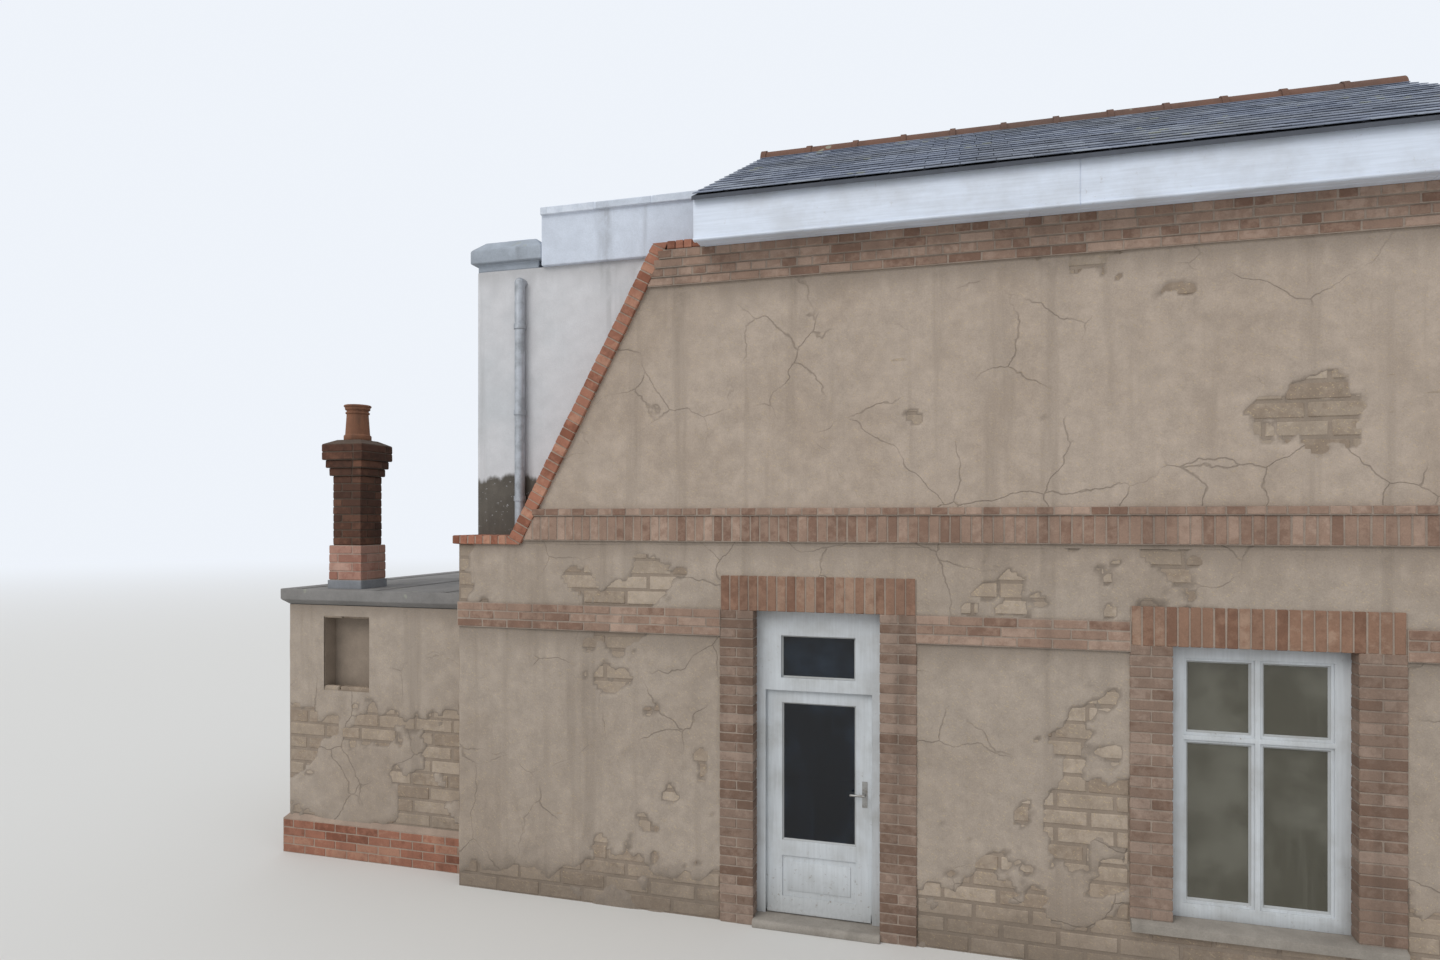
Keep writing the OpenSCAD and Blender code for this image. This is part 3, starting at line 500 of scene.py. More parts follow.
def build_coats():
    """The mud coat on each storey, the gable and the wing, and the limewash on the upper room.
    Each keep rule is true where its coat stays, and each margin says how far a coat goes on under
    what covers its edge."""
    under_jamb, under_lintel, under_sill, under_rake = 0.06, 0.05, 0.02, 0.02
    under_eaves, under_roof, under_coping = 0.03, 0.04, 0.05
    ridge_z, seam_y = roof_under(RIDGE_Y), BACK - 0.4
    niche_x, niche_z = wing_niche()

    def lower(x, y, z):
        """Off the door, the window and the wing's end."""
        door = inside(x, DOOR_JAMB_X, under_jamb) & (z < DOOR_HEAD_Z + LINTEL_H - under_lintel)
        window = (inside(x, WINDOW_JAMB_X, under_jamb)
                  & inside(z, (sill_low[2] + under_sill, WINDOW_TOP_Z + LINTEL_H - under_lintel)))
        behind_wing = (x < LEFT + ON_WALL) & inside(y, WING_Y) & (z < deck_high[2])
        return ~((y < FRONT + ON_WALL) & (door | window)) & ~behind_wing

    def upper(x, y, z):
        """Right of the rake, below the eaves band and the roof."""
        beyond_rake = (y < FRONT + ON_WALL) & (x < rake_x(z) - under_rake)
        in_eaves = (x < RIGHT - 0.01) & (z > EAVES_BAND_Z + under_eaves)
        return ~beyond_rake & ~in_eaves & (z < roof_under(y) + under_roof)

    coat("lower_mud_coat", [(RIGHT, seam_y), (RIGHT, BACK), (LEFT, BACK), (LEFT, FRONT),
                            (RIGHT, FRONT), (RIGHT, seam_y)],
         (0.0, STOREY_Z), lower, BODY_LEDGES, seed=3)
    coat("upper_mud_coat", [(RAKE_FOOT[0], FRONT), (RIGHT, FRONT), (RIGHT, BACK), (VERGE_X, BACK)],
         (STOREY_Z, ridge_z), upper, BODY_LEDGES, seed=9, worn=0.42)
    coat("gable_mud_coat", [(VERGE_X, gable_high[1]), (VERGE_X, ROOM_Y)],
         (room_high[2], ridge_z), lambda x, y, z: z < roof_under(y) + under_roof, (), seed=12,
         worn=0.5)
    coat("wing_mud_coat", [(LEFT, WING_Y[1]), (wing_low[0], WING_Y[1]), (wing_low[0], WING_Y[0]),
                           (LEFT, WING_Y[0])],
         (WING_Z[0] - 0.03, WING_Z[1]), lambda x, y, z: ~(
             inside(x, niche_x) & inside(z, niche_z) & (y < WING_Y[0] + ON_WALL)),
         WING_LEDGES, seed=15)
    coat("limewash_coat", [(VERGE_X, BACK), (LEFT, BACK), (LEFT, ROOM_Y), (VERGE_X, ROOM_Y)],
         (STOREY_Z, stack_high[2]),
         lambda x, y, z: ~((y < ROOM_Y + ON_WALL) & (x > rake_x(z) + under_coping)),
         ROOM_LEDGES, seed=21, worn=2.0, slot="whitewash", thickness=0.008)


# Brick dressings

BRICK_JOINT = 0.010
BRICK_COURSE = 0.075
BRICK_W = 0.105
BRICK_PROUD = 0.005
BRICK_SUNK = 0.03
BRICK_EDGE = 0.004
BRICK_WOBBLE = 0.0012
STRETCHER, HEADER, ON_END = 0.235, 0.120, 0.075
LINTEL_DEPTH = 0.115
BED = 0.004
OPENINGS = ((DOOR_X, DOOR_JAMB_X, (0.0, DOOR_HEAD_Z)),
            (WINDOW_X, WINDOW_JAMB_X, (sill_high[2], WINDOW_TOP_Z)))


def brick_edges(start, end):
    """Where bricks that stand side by side begin and end."""
    return np.linspace(start, end, round((end - start) / ON_END) + 1)


def brick_row(edges, y_span, z_span, jitter=BRICK_WOBBLE, joint=BRICK_JOINT):
    """Bricks side by side along X. A span's end is one number, or one for each brick."""
    return blocks(np.column_stack(np.broadcast_arrays(
        edges[:-1] + joint / 2, edges[1:] - joint / 2, *y_span, *z_span)), BRICK_EDGE, jitter)


def jamb_bricks(x_span, z_span):
    """A brick pier of full wall thickness. Courses of four bricks side by side take turns with
    courses of two by two, which lie the other way."""
    front, back = FRONT - DRESS_OUT - BRICK_PROUD, FRONT + WALL_T + BRICK_PROUD
    left, right = x_span[0] - BRICK_PROUD, x_span[1] + BRICK_PROUD
    half, bricks = BRICK_JOINT / 2, []
    count = round((z_span[1] - z_span[0]) / BRICK_COURSE)
    for row, (z0, z1) in enumerate(course_levels(*z_span, count, BRICK_JOINT)):
        across, deep = (1, 4) if row % 2 else (2, 2)
        for a, b in pairs(np.linspace(left, right, across + 1)):
            for c, d in pairs(np.linspace(front, back, deep + 1)):
                bricks.append((a + (half if a > left else 0), b - (half if b < right else 0),
                               c + (half if c > front else 0), d - (half if d < back else 0),
                               z0, z1))
    return blocks(bricks, BRICK_EDGE, BRICK_WOBBLE)


def soldier_bricks(x_span, foot):
    """Bricks that stand on end side by side over an opening."""
    edges = brick_edges(*x_span)
    proud = BRICK_PROUD * rng.uniform(0.6, 1.1, len(edges) - 1)
    front, top = FRONT - DRESS_OUT, foot + LINTEL_H
    return brick_row(edges, (front - proud, front + LINTEL_DEPTH),
                     (foot - BRICK_PROUD, top + BRICK_PROUD))


def brick_courses(side, place, spans, z_span, unit=STRETCHER, course_h=BRICK_COURSE):
    """Courses of bricks on an upright face."""
    rows = courses(spans, *z_span, course_h, unit, BRICK_JOINT, BRICK_SUNK, BRICK_PROUD)
    return laid_on(side, place, blocks(rows, BRICK_EDGE, BRICK_WOBBLE))


def band_bricks(side, spans, z_span, out, unit=STRETCHER, rows=1):
    """Courses of bricks in a band that stands out from the front or the back wall."""
    return brick_courses(side, FRONT - out if side == "front" else BACK + out, spans, z_span, unit,
                         (z_span[1] - z_span[0]) / rows)


def build_bands():
    """The three string bands on the front, and the upper two on the back."""
    lip_z, under_coping = STOREY_BAND_Z[1] - BAND_LIP_H, 0.03
    step_h = EAVES_BAND_H / EAVES_COURSES
    parts = [band_bricks("front", lambda z: without(LEFT, RIGHT, [DOOR_JAMB_X, WINDOW_JAMB_X]),
                         HEAD_BAND_Z, BAND_OUT, rows=3)]
    for side, spans in (("front", lambda z: [(rake_x(z) - under_coping, RIGHT)]),
                        ("back", lambda z: [(VERGE_X, RIGHT)])):
        parts.append(band_bricks(side, spans, (STOREY_BAND_Z[0], lip_z), BAND_OUT, ON_END))
        parts.append(band_bricks(side, spans, (lip_z, STOREY_BAND_Z[1] - BED),
                                 BAND_OUT + BAND_LIP, HEADER))
        for row in range(EAVES_COURSES):
            foot = EAVES_BAND_Z + row * step_h
            parts.append(band_bricks(side, spans, (foot, foot + step_h),
                                     BAND_OUT + row * COURSE_STEP,
                                     HEADER if row % 2 else STRETCHER))
    toned_piece("band_bricks", "brick_band", parts)


def build_jambs():
    """Brick piers beside the door and window, and standing bricks over them."""
    toned_piece("jamb_bricks", "brick_band", [
        jamb_bricks(x_span, z_span) for opening, jambs, z_span in OPENINGS
        for x_span in ((jambs[0], opening[0]), (opening[1], jambs[1]))])
    toned_piece("lintel_bricks", "red_brick", [
        soldier_bricks(jambs, z_span[1]) for _, jambs, z_span in OPENINGS])


def build_coping():
    """Bricks on edge, square to the rake, a level row over the shoulder and one on the wall's
    head, and a cut brick where each row meets the rake."""
    run, rise = math.cos(RAKE_ANGLE), math.sin(RAKE_ANGLE)
    along, out = np.array([run, rise]), np.array([-rise, run])
    y_span = (coping_low[1] - BRICK_PROUD, coping_high[1])
    length = (RAKE_HEAD[1] - RAKE_FOOT[1] - COPING_T * run) / rise
    edges = brick_edges(0.0, length)
    proud = BRICK_PROUD * rng.uniform(0.3, 1.2, len(edges) - 1)
    rake = brick_row(edges, y_span, (-BED, COPING_T + proud), jitter=0.0015)
    parts = [laid(rake, (RAKE_FOOT[0], 0, RAKE_FOOT[1]), (run, 0, rise), NORTH, (-rise, 0, run))]

    shoulder_end = RAKE_FOOT[0] - COPING_T / rise
    shoulder_z = (STOREY_Z - BED, STOREY_Z + SHOULDER_T + BRICK_PROUD)
    parts.append(brick_row(brick_edges(coping_low[0], shoulder_end), y_span, shoulder_z,
                           jitter=0.0015))

    bend, gap, cut_tone = np.array(RAKE_FOOT), BRICK_JOINT / 2 * along, 0.4
    head, thick = bend + length * along, (COPING_T + BRICK_PROUD) * out
    cut_x, head_z = shoulder_end + BRICK_JOINT / 2, RAKE_HEAD[1] + BRICK_PROUD
    head_y = (-(EAVES_OUT + 0.008), 0.22)
    for outline in ([(cut_x, shoulder_z[0]), bend - gap, bend + thick - gap,
                     (cut_x, shoulder_z[1])],
                    [head + gap, (RAKE_HEAD[0], head_z), ((head + thick)[0], head_z)]):
        points, faces = carried(outline, (-y_span[1], -y_span[0]))
        parts.append(laid((points, faces, np.full(len(points), cut_tone)), (0, 0, 0), SOUTH, EAST,
                          UP))

    head_bricks = 4
    parts.append(brick_row(np.linspace(RAKE_HEAD[0], VERGE_X, head_bricks + 1), head_y,
                           (SOFFIT_Z + SUNK, head_z), joint=BRICK_JOINT / 2))
    toned_piece("coping_bricks", "red_brick", parts)


def build_plinth():
    """Brick courses round the wing's foot, up to its sloping top."""
    sloping_h = 0.045
    z_span = (0.0, plinth_high[2] - sloping_h)
    toned_piece("plinth_bricks", "red_brick", [
        brick_courses("front", plinth_low[1], lambda z: [(plinth_low[0], LEFT)], z_span),
        brick_courses("back", plinth_high[1], lambda z: [(plinth_low[0], LEFT)], z_span),
        brick_courses("left", plinth_low[0], lambda z: [(plinth_low[1], plinth_high[1])], z_span)])


def ring_courses(low, high, rows):
    """Bricks in courses round a square hollow. In each course every brick runs from one corner to
    the face of the next, like the arms of a windmill, and the next course turns the other way."""
    out, half, bricks = BRICK_PROUD + BRICK_JOINT / 2, BRICK_JOINT / 2, []
    x0, x1, y0, y1 = low[0] - out, high[0] + out, low[1] - out, high[1] + out
    for row, levels in enumerate(course_levels(low[2], high[2], rows, BRICK_JOINT)):
        p, q = (BRICK_W, 0) if row % 2 else (0, BRICK_W)
        for a, b, c, d in ((x0 + p, x1 - q, y0, y0 + BRICK_W), (x1 - BRICK_W, x1, y0 + p, y1 - q),
                           (x0 + q, x1 - p, y1 - BRICK_W, y1), (x0, x0 + BRICK_W, y0 + q, y1 - p)):
            bricks.append((a + half, b - half, c + half, d - half, *levels))
    return blocks(bricks, BRICK_EDGE, jitter=0.0014)


def build_flue():
    """The brick flue on the wing: a pale base, a dark shaft and a head that steps out."""
    for node in ("flue_base", "flue_shaft"):
        low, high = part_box(node)
        toned_piece(node + "_bricks", "red_brick", [
            ring_courses(low, high, round((high[2] - low[2]) / BRICK_COURSE))])
    head_low, course_h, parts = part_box("flue_head")[0], FLUE_HEAD_H / FLUE_HEAD_COURSES, []
    for row in range(FLUE_HEAD_COURSES):
        out = (low[0] - head_low[0]) * min(row + 1, FLUE_HEAD_STEPS) / FLUE_HEAD_STEPS
        foot = head_low[2] + row * course_h
        parts.append(ring_courses((low[0] - out, low[1] - out, foot),
                                  (high[0] + out, high[1] + out, foot + course_h), 1))
    toned_piece("flue_head_bricks", "red_brick", parts)


# Joinery, stone and clay

GROOVE, PUTTY = 0.008, 0.012


def merged(mesh):
    """A mesh to edit, with the points that share a place made one."""
    shape = bmesh.new()
    shape.from_mesh(mesh)
    bmesh.ops.remove_doubles(shape, verts=shape.verts, dist=1e-5)
    return shape


def softened(name, node, edge, segments=2, body="house"):
    """A merged copy of a node with its sharp edges rounded off, which stands in for the node."""
    mesh = frame["nodes"][node].data.copy()
    mesh.materials.clear()
    shape = merged(mesh)
    bmesh.ops.dissolve_limit(shape, angle_limit=math.radians(0.5), verts=shape.verts,
                             edges=shape.edges)
    shape.to_mesh(mesh)
    shape.free()
    mesh.name = name
    mesh.polygons.foreach_set("use_smooth", np.ones(len(mesh.polygons), dtype=bool))
    piece = placed(name, mesh)
    worn = piece.modifiers.new("worn_edges", "BEVEL")
    worn.width = edge
    worn.segments = segments
    worn.limit_method = "ANGLE"
    worn.angle_limit = math.radians(35.0)
    worn.harden_normals = True
    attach(piece, body)
    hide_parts(node)


def solid_boxes(node):
    """The lowest and highest corner of each separate solid in a node."""
    shape = merged(frame["nodes"][node].data)
    waiting, found = set(shape.verts), []
    while waiting:
        group, edge_of = set(), {waiting.pop()}
        while edge_of:
            group |= edge_of
            edge_of = {edge.other_vert(v) for v in edge_of for edge in v.link_edges} - group
        waiting -= group
        points = np.array([v.co[:] for v in group])
        found.append((points.min(axis=0), points.max(axis=0)))
    shape.free()
    return sorted(found, key=lambda box: tuple(np.round(box[0], 4)))


def putty_lines(name, panes, body):
    """Putty round each pane: a loop on the glass, a loop on the wood in front of it and a loop
    behind, joined by quads, so that the section is a small triangle."""
    points, faces, over_glass, in_wood = [], [], 0.0004, 0.001
    for low, high in panes:
        start, face = len(points), low[1]
        for inset, y in ((PUTTY, face - over_glass), (0.0, face - PUTTY),
                         (-in_wood, face + in_wood)):
            x0, z0 = low[0] + GROOVE + inset, low[2] + GROOVE + inset
            x1, z1 = high[0] - GROOVE - inset, high[2] - GROOVE - inset
            points += [(x0, y, z0), (x1, y, z0), (x1, y, z1), (x0, y, z1)]
        for first, second in ((4, 0), (8, 4), (0, 8)):
            faces += [[start + first + i, start + first + (i + 1) % 4,
                       start + second + (i + 1) % 4, start + second + i] for i in range(4)]
    mesh_piece(name, "frame_paint", np.array(points), faces, body)


def pane_piece(name, panes):
    """Panes of fixed glass as one piece."""
    points, faces, _ = blocks([np.column_stack(pane).ravel() for pane in panes], edge=0.0005)
    return mesh_piece(name, "glass", points, faces)


def build_joinery():
    """Rounded copies of the joinery, the stones, the pot, the parapet and the wing's roof, putty
    round the glass, and the fixed panes."""
    softened("door_frame_wood", "door_frame", 0.003)
    softened("door_leaf_wood", "door_leaf", 0.0025, body="door")
    softened("window_frame_wood", "window_frame", 0.003)
    softened("sill_stone", "window_sill", 0.006, 3)
    softened("threshold_stone", "threshold", 0.008, 3)
    softened("cap_stone", "stack_cap", 0.012, 3)
    softened("parapet_wall", "room_parapet", 0.012, 3)
    softened("clay_pot", "flue_pot", 0.003)
    softened("wing_roof_deck", "wing_roof", 0.010, 3)
    panes = solid_boxes("fixed_glass")
    putty_lines("frame_putty", panes, "house")
    putty_lines("leaf_putty", solid_boxes("door_glass"), "door")
    window_glass = pane_piece("window_panes", [pane for pane in panes if pane[0][0] > DOOR_X[1]])
    pane_piece("top_light_pane", [pane for pane in panes if pane[0][0] < DOOR_X[1]])
    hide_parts("fixed_glass")


def build_trim():
    """Boards under the eaves, and coping stones on the parapet."""
    board_l, board_t, joint_x, joint_y, verge_gap = 2.4, 0.006, 0.001, 0.0015, 0.034
    split_y, boards = -0.135, []
    for y0, y1 in ((FASCIA_BACK, split_y), (split_y, FRONT - EAVES_OUT)):
        for x0 in np.arange(VERGE_X + verge_gap, RIGHT - verge_gap - board_t, board_l):
            x1 = min(x0 + board_l, RIGHT - verge_gap)
            for low_y, high_y in ((y0, y1), (BACK + FRONT - y1, BACK + FRONT - y0)):
                boards.append((x0 + joint_x, x1 - joint_x, low_y + joint_y, high_y - joint_y,
                               SOFFIT_Z - board_t, SOFFIT_Z + SUNK))
    toned_piece("soffit_boards", "pale_paint", [blocks(boards, edge=0.0025)])

    stone_l, over = 0.62, 0.003
    low, high = parapet_low, parapet_high
    inner_x = low[0] + PARAPET_W
    plans = [(low[0] - over, inner_x + over, *stretch)
             for stretch in stones(cap_high[1], high[1], stone_l)]
    plans += [(*stretch, high[1] - PARAPET_W - over, high[1] + over)
              for stretch in stones(inner_x + over + STONE_GAP, high[0], stone_l)]
    plans += [(*stretch, low[1] - over, low[1] + PARAPET_W + over)
              for stretch in stones(cap_high[0], high[0], stone_l)]
    foot, top = high[2] - PARAPET_LIP_H - SUNK, high[2]
    toned_piece("parapet_coping", "pale_paint", [
        blocks([(*plan, foot, top) for plan in plans], edge=0.007, jitter=0.0012)])


def build_eaves():
    """Fascia boards laid end to end over each fascia, with a half-round bead along their foot."""
    low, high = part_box("fascias")
    face, board_t, bead_r, board_l = low[1], 0.005, 0.011, 3.6
    top = high[2] - (FASCIA_BACK - face) * math.tan(PITCH) - 0.004
    angle = np.linspace(-math.pi / 2, math.pi / 2, 9)
    bead = np.column_stack([face - board_t - bead_r * np.cos(angle),
                            low[2] + bead_r + 0.001 - bead_r * np.sin(angle)])
    mirrored = np.column_stack([2 * RIDGE_Y - bead[:, 0], bead[:, 1]])[::-1]
    front = np.array([face - board_t, face + SUNK])
    parts = []
    for stretch in stones(low[0] - 0.002, high[0] + 0.002, board_l):
        for y_span, profile in ((front, bead), ((2 * RIDGE_Y - front)[::-1], mirrored)):
            parts.append(blocks([(*stretch, *y_span, low[2] + 0.002, top)], edge=0.002))
            points, faces = carried(profile, stretch)
            parts.append((points, faces, np.full(len(points), parts[-1][2][0])))
    toned_piece("fascia_boards", "pale_paint", parts)


def build_roofing():
    """Laps in the felt of both flat roofs, and sheet lead where a wall or the flue stands on the
    wing's."""
    felt_w, lap_w, lap_t, deck_inset, room_inset = 0.55, 0.060, 0.004, 0.012, 0.01
    wing_laps = (-4.98, -4.15, -3.42)
    room_laps = np.arange(parapet_low[0] + PARAPET_W + 0.5, parapet_high[0] - 0.2, felt_w)
    deck_z, room_z = deck_high[2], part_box("room_roof")[1][2]
    laps = [(x, x + lap_w, deck_low[1] + deck_inset, deck_high[1] - deck_inset, deck_z - SUNK,
             deck_z + lap_t) for x in wing_laps]
    laps += [(x, x + lap_w, cap_high[1] + room_inset, parapet_high[1] - PARAPET_W - room_inset,
              room_z - SUNK, room_z + lap_t) for x in room_laps]
    toned_piece("felt_laps", "earth_render", [blocks(laps, edge=0.0015)])

    lead_l, lead_t, lead_h, flue_lead_t, flue_lead_h, clear = 1.2, 0.030, 0.110, 0.008, 0.080, 0.001
    leads = [(LEFT - lead_t, LEFT + SUNK, y0 - STONE_GAP, y1 + STONE_GAP, deck_z - SUNK,
              deck_z + lead_h) for y0, y1 in stones(*WING_Y, lead_l)]
    (a0, b0, _), (a1, b1, _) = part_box("flue_base")
    out = BRICK_PROUD + flue_lead_t
    x0, x1, y0, y1 = a0 - out, a1 + out, b0 - out, b1 + out
    leads += [(*plan, deck_z - SUNK, deck_z + flue_lead_h) for plan in (
        (x0, x1, y0, b0 - clear), (x0, x1, b1 + clear, y1),
        (x0, a0 - clear, y0, y1), (a1 + clear, x1, y0, y1))]
    toned_piece("lead_flashings", "zinc", [blocks(leads, edge=0.004, jitter=0.0015)])


def build_slates():
    """Slates on both slopes. Each lies with its low end on the row below, which is a shear of its
    height by its distance down the slope."""
    slate_t, tilt, lap, end_gap, first_row, stray = 0.007, 0.055, 0.06, 0.002, 0.016, 0.004
    run = (RIDGE_Y - slope_low[1]) / math.cos(PITCH)
    edge_z = roof_under(slope_low[1]) + ROOF_T / math.cos(PITCH)
    for name, facing in (("front_slates", 1), ("back_slates", -1)):
        slates = courses(lambda v: [(slope_low[0] + end_gap, slope_high[0] - end_gap)], first_row,
                         run, course_h=0.165, unit=0.245, joint=0.004, depth=0.0, out=0.0)
        v_low, v_high, w_low, w_high = slates[:, 2:].T
        w_low[:] = 0.001 + rng.uniform(0, 0.002, len(slates))
        w_high[:] = w_low + slate_t
        v_low += rng.uniform(-stray, stray, len(slates))
        v_high += lap
        up = (0, facing * math.cos(PITCH), math.sin(PITCH))
        out = (0, -facing * math.sin(PITCH), math.cos(PITCH))
        y = slope_low[1] if facing > 0 else FRONT + BACK - slope_low[1]
        slates = blocks(slates, edge=0.0018, jitter=0.0007, shear=tilt)
        points, faces, tone = laid(slates, (0, y, edge_z), EAST, up, out)
        points[:, 0] = np.clip(points[:, 0], slope_low[0] + 0.0005, slope_high[0] - 0.0005)
        mesh_piece(name, "roof_slate", points, faces, tone=tone)


# Materials

class Net:
    """A node tree with short ways to add to it. A value is a number, a tuple or a socket."""

    def __init__(self, tree):
        self.tree, self.object_coords = tree, None

    @property
    def coords(self):
        """Object coordinates, from one node that is made when they are first asked for."""
        if self.object_coords is None:
            self.object_coords = self.add("ShaderNodeTexCoord").outputs["Object"]
        return self.object_coords

    def height(self):
        """The height over the ground."""
        return self.add("ShaderNodeSeparateXYZ", self.coords).outputs[2]

    def feed(self, socket, value):
        """Sets a socket, or joins another socket to it."""
        if isinstance(value, bpy.types.NodeSocket):
            self.tree.links.new(value, socket)
        else:
            socket.default_value = value

    def add(self, kind, *values, **named):
        """A new node. Inputs are given in order, or by names that start with a capital. Small
        names are the node's settings."""
        node = self.tree.nodes.new(kind)
        for key, value in named.items():
            if key.islower():
                setattr(node, key, value)
            else:
                self.feed(node.inputs[key.replace("_", " ")], value)
        for socket, value in zip(node.inputs, values):
            self.feed(socket, value)
        return node

    def maths(self, operation, *values):
        """One step of arithmetic."""
        return self.add("ShaderNodeMath", *values, operation=operation).outputs[0]

    def vectors(self, operation, *values):
        """One step of arithmetic on vectors."""
        return self.add("ShaderNodeVectorMath", *values, operation=operation)

    def times(self, first, second):
        """Two values multiplied."""
        return self.maths("MULTIPLY", first, second)

    def times_plus(self, value, factor, rest):
        """A value times a factor, plus the rest."""
        return self.maths("MULTIPLY_ADD", value, factor, rest)

    def most(self, first, second):
        """The larger of two values."""
        return self.maths("MAXIMUM", first, second)

    def blend(self, factor, first, second, way="MIX"):
        """Two colours mixed by a factor."""
        node = self.add("ShaderNodeMix", data_type="RGBA", blend_type=way)
        for index, value in ((0, factor), (6, first), (7, second)):
            self.feed(node.inputs[index], value)
        return node.outputs[2]

    def shaded(self, colour, tint):
        """A colour made lighter or darker by a number."""
        factor = self.add("ShaderNodeCombineColor", tint, tint, tint).outputs[0]
        return self.blend(1.0, colour, factor, "MULTIPLY")

    def ranged(self, value, low, high, to_low=0.0, to_high=1.0):
        """A value carried from one range to another, smoothly and within its ends."""
        return self.add("ShaderNodeMapRange", interpolation_type="SMOOTHSTEP", Value=value,
                        From_Min=low, From_Max=high, To_Min=to_low, To_Max=to_high).outputs[0]

    def noise(self, scale, detail=4.0, rough=0.6, squash=None, coords=None):
        """Cloudy noise on object coordinates, drawn out where squash is given."""
        vector = self.coords if coords is None else coords
        if squash is not None:
            vector = self.add("ShaderNodeMapping", Vector=vector, Scale=squash).outputs[0]
        return self.add("ShaderNodeTexNoise", Vector=vector, Scale=scale, Detail=detail,
                        Roughness=rough).outputs[0]

    def cells(self, vector, scale, **settings):
        """The distance to the middles or, where so set, to the borders of random cells."""
        return self.add("ShaderNodeTexVoronoi", **settings, Vector=vector,
                        Scale=scale).outputs["Distance"]

    def bent(self, scale, reach):
        """Coordinates pushed about by coloured noise, up to a reach in metres."""
        push = self.add("ShaderNodeTexNoise", Vector=self.coords, Scale=scale, Detail=4.0)
        return self.vectors("MULTIPLY_ADD", push.outputs["Color"], (reach, reach, reach),
                            self.coords).outputs[0]

    def mark(self, label):
        """A mark that the points of a piece carry."""
        return self.add("ShaderNodeAttribute", attribute_name=label).outputs["Fac"]

    def group(self, tree, **values):
        """A group placed in the tree with its own values. Tuples are screen colours."""
        return self.add("ShaderNodeGroup", node_tree=tree, **{
            key: linear(value) if isinstance(value, tuple) else value
            for key, value in values.items()})


def cracks_in(net):
    """Thin lines along the borders of bent cells, only where a wide noise is high."""
    line = net.ranged(net.cells(net.bent(2.2, 0.35), 1.4, feature="DISTANCE_TO_EDGE"),
                      0.0, 0.010, 1.0, 0.0)
    return net.times(line, net.ranged(net.noise(0.8, 3.0), 0.47, 0.58))


def straw_in(net, turn):
    """Short flecks: the middles of cells that are drawn out along one turned direction."""
    mapping = net.add("ShaderNodeMapping", vector_type="TEXTURE", Vector=net.coords, Rotation=turn,
                      Scale=(0.09, 0.03, 0.014))
    return net.ranged(net.cells(mapping.outputs[0], 1.0), 0.12, 0.20, 1.0, 0.0)


def lichen_in(net):
    """Round spots of many sizes: the middles of bent cells, as wide as a wide noise lets them
    be."""
    limit = net.ranged(net.noise(1.6, 3.0), 0.45, 0.72, 0.0, 0.45)
    return net.ranged(net.maths("SUBTRACT", limit, net.cells(net.bent(14.0, 0.06), 8.0)), 0.0, 0.05)


STRAW_COLOUR = (0.50, 0.39, 0.24, 1.0)
LICHEN_COLOUR = (0.33, 0.35, 0.27, 1.0)
RUNS_DOWN = (1.0, 1.0, 0.06)


def weathering(net, given):
    """Clouds of a second colour, straw, rain streaks, dirt and damp with a painted shade below
    ledges, cracks darkened by painted shade, lichen, a dark rim where a coat has broken away, and
    fine grain."""
    stain_and_shade = given["Stain Colour"]
    mottle, grain = net.noise(7.0, 6.0, 0.7), net.noise(110.0, 3.0, 0.7)
    patches = net.times(net.ranged(net.noise(0.9, 5.0), 0.42, 0.66), given["Patches"])
    colour = net.blend(patches, given["Colour"], given["Patch Colour"])
    straw = net.most(straw_in(net, (0.3, 0.5, 0.2)), straw_in(net, (-0.4, -0.9, 1.4)))
    straw = net.times(straw, given["Straw"])
    colour = net.blend(straw, colour, STRAW_COLOUR)
    streaks = net.times(net.ranged(net.noise(5.0, squash=RUNS_DOWN), 0.5, 0.72),
                        net.ranged(mottle, 0.3, 0.6))
    colour = net.blend(net.times(streaks, given["Streaks"]), colour, stain_and_shade)
    ragged = net.times_plus(net.noise(2.2, 5.0), -0.9, net.height())
    damp = net.times(net.ranged(ragged, -0.42, 0.05, 1.0, 0.0), given["Damp"])
    # The mark carries dirt and also the painted shade below ledges; both darken towards the stain
    # and shade colour
    grime_and_shade = net.most(damp, net.times(net.mark("soil"), net.ranged(mottle, 0.3, 0.65, 0.3, 0.8)))
    present = net.mark("present")
    rim = net.times(present, net.times_plus(present, -2.4, 2.4))
    colour = net.blend(net.most(grime_and_shade, rim), colour, stain_and_shade)
    cracks = net.times(cracks_in(net), given["Cracks"])
    # Painted shade: each crack is darkened towards the stain and shade colour, as the shadow inside
    # it
    colour = net.blend(net.times(cracks, 0.8), colour, stain_and_shade)
    lichen = net.times(lichen_in(net), given["Lichen"])
    colour = net.blend(lichen, colour, LICHEN_COLOUR)
    tint = net.maths("ADD", net.ranged(mottle, 0.2, 0.8, 0.86, 1.14),
                     net.ranged(grain, 0.2, 0.8, -0.1, 0.1))
    colour = net.blend(given["Grain"], colour, net.shaded(colour, tint))
    bump = net.times_plus(grain, 0.35, net.times(mottle, 0.65))
    bump = net.times_plus(cracks, -1.2, net.times_plus(straw, 0.15, bump))
    return colour, net.ranged(mottle, 0.2, 0.8, 0.82, 0.98), net.times_plus(lichen, 0.3, bump)


def piece_tones(net, given):
    """A colour for each brick, block or slate, from the random tone that its points carry, with
    clouds of its own that the tone moves about."""
    own = net.mark("tone")
    shift = net.add("ShaderNodeCombineXYZ", *(net.times(own, by) for by in (17.0, 31.0, 7.0)))
    moved = net.vectors("ADD", net.coords, shift.outputs[0]).outputs[0]
    cloud = net.ranged(net.noise(15.0, 5.0, 0.65, coords=moved), 0.25, 0.75, -0.28, 0.28)
    tone = net.maths("ADD", own, cloud)
    colour = net.blend(net.ranged(tone, 0.0, 0.45), given["Dark"], given["Middle"])
    return (net.blend(net.ranged(tone, 0.62, 1.0), colour, given["Light"]),)


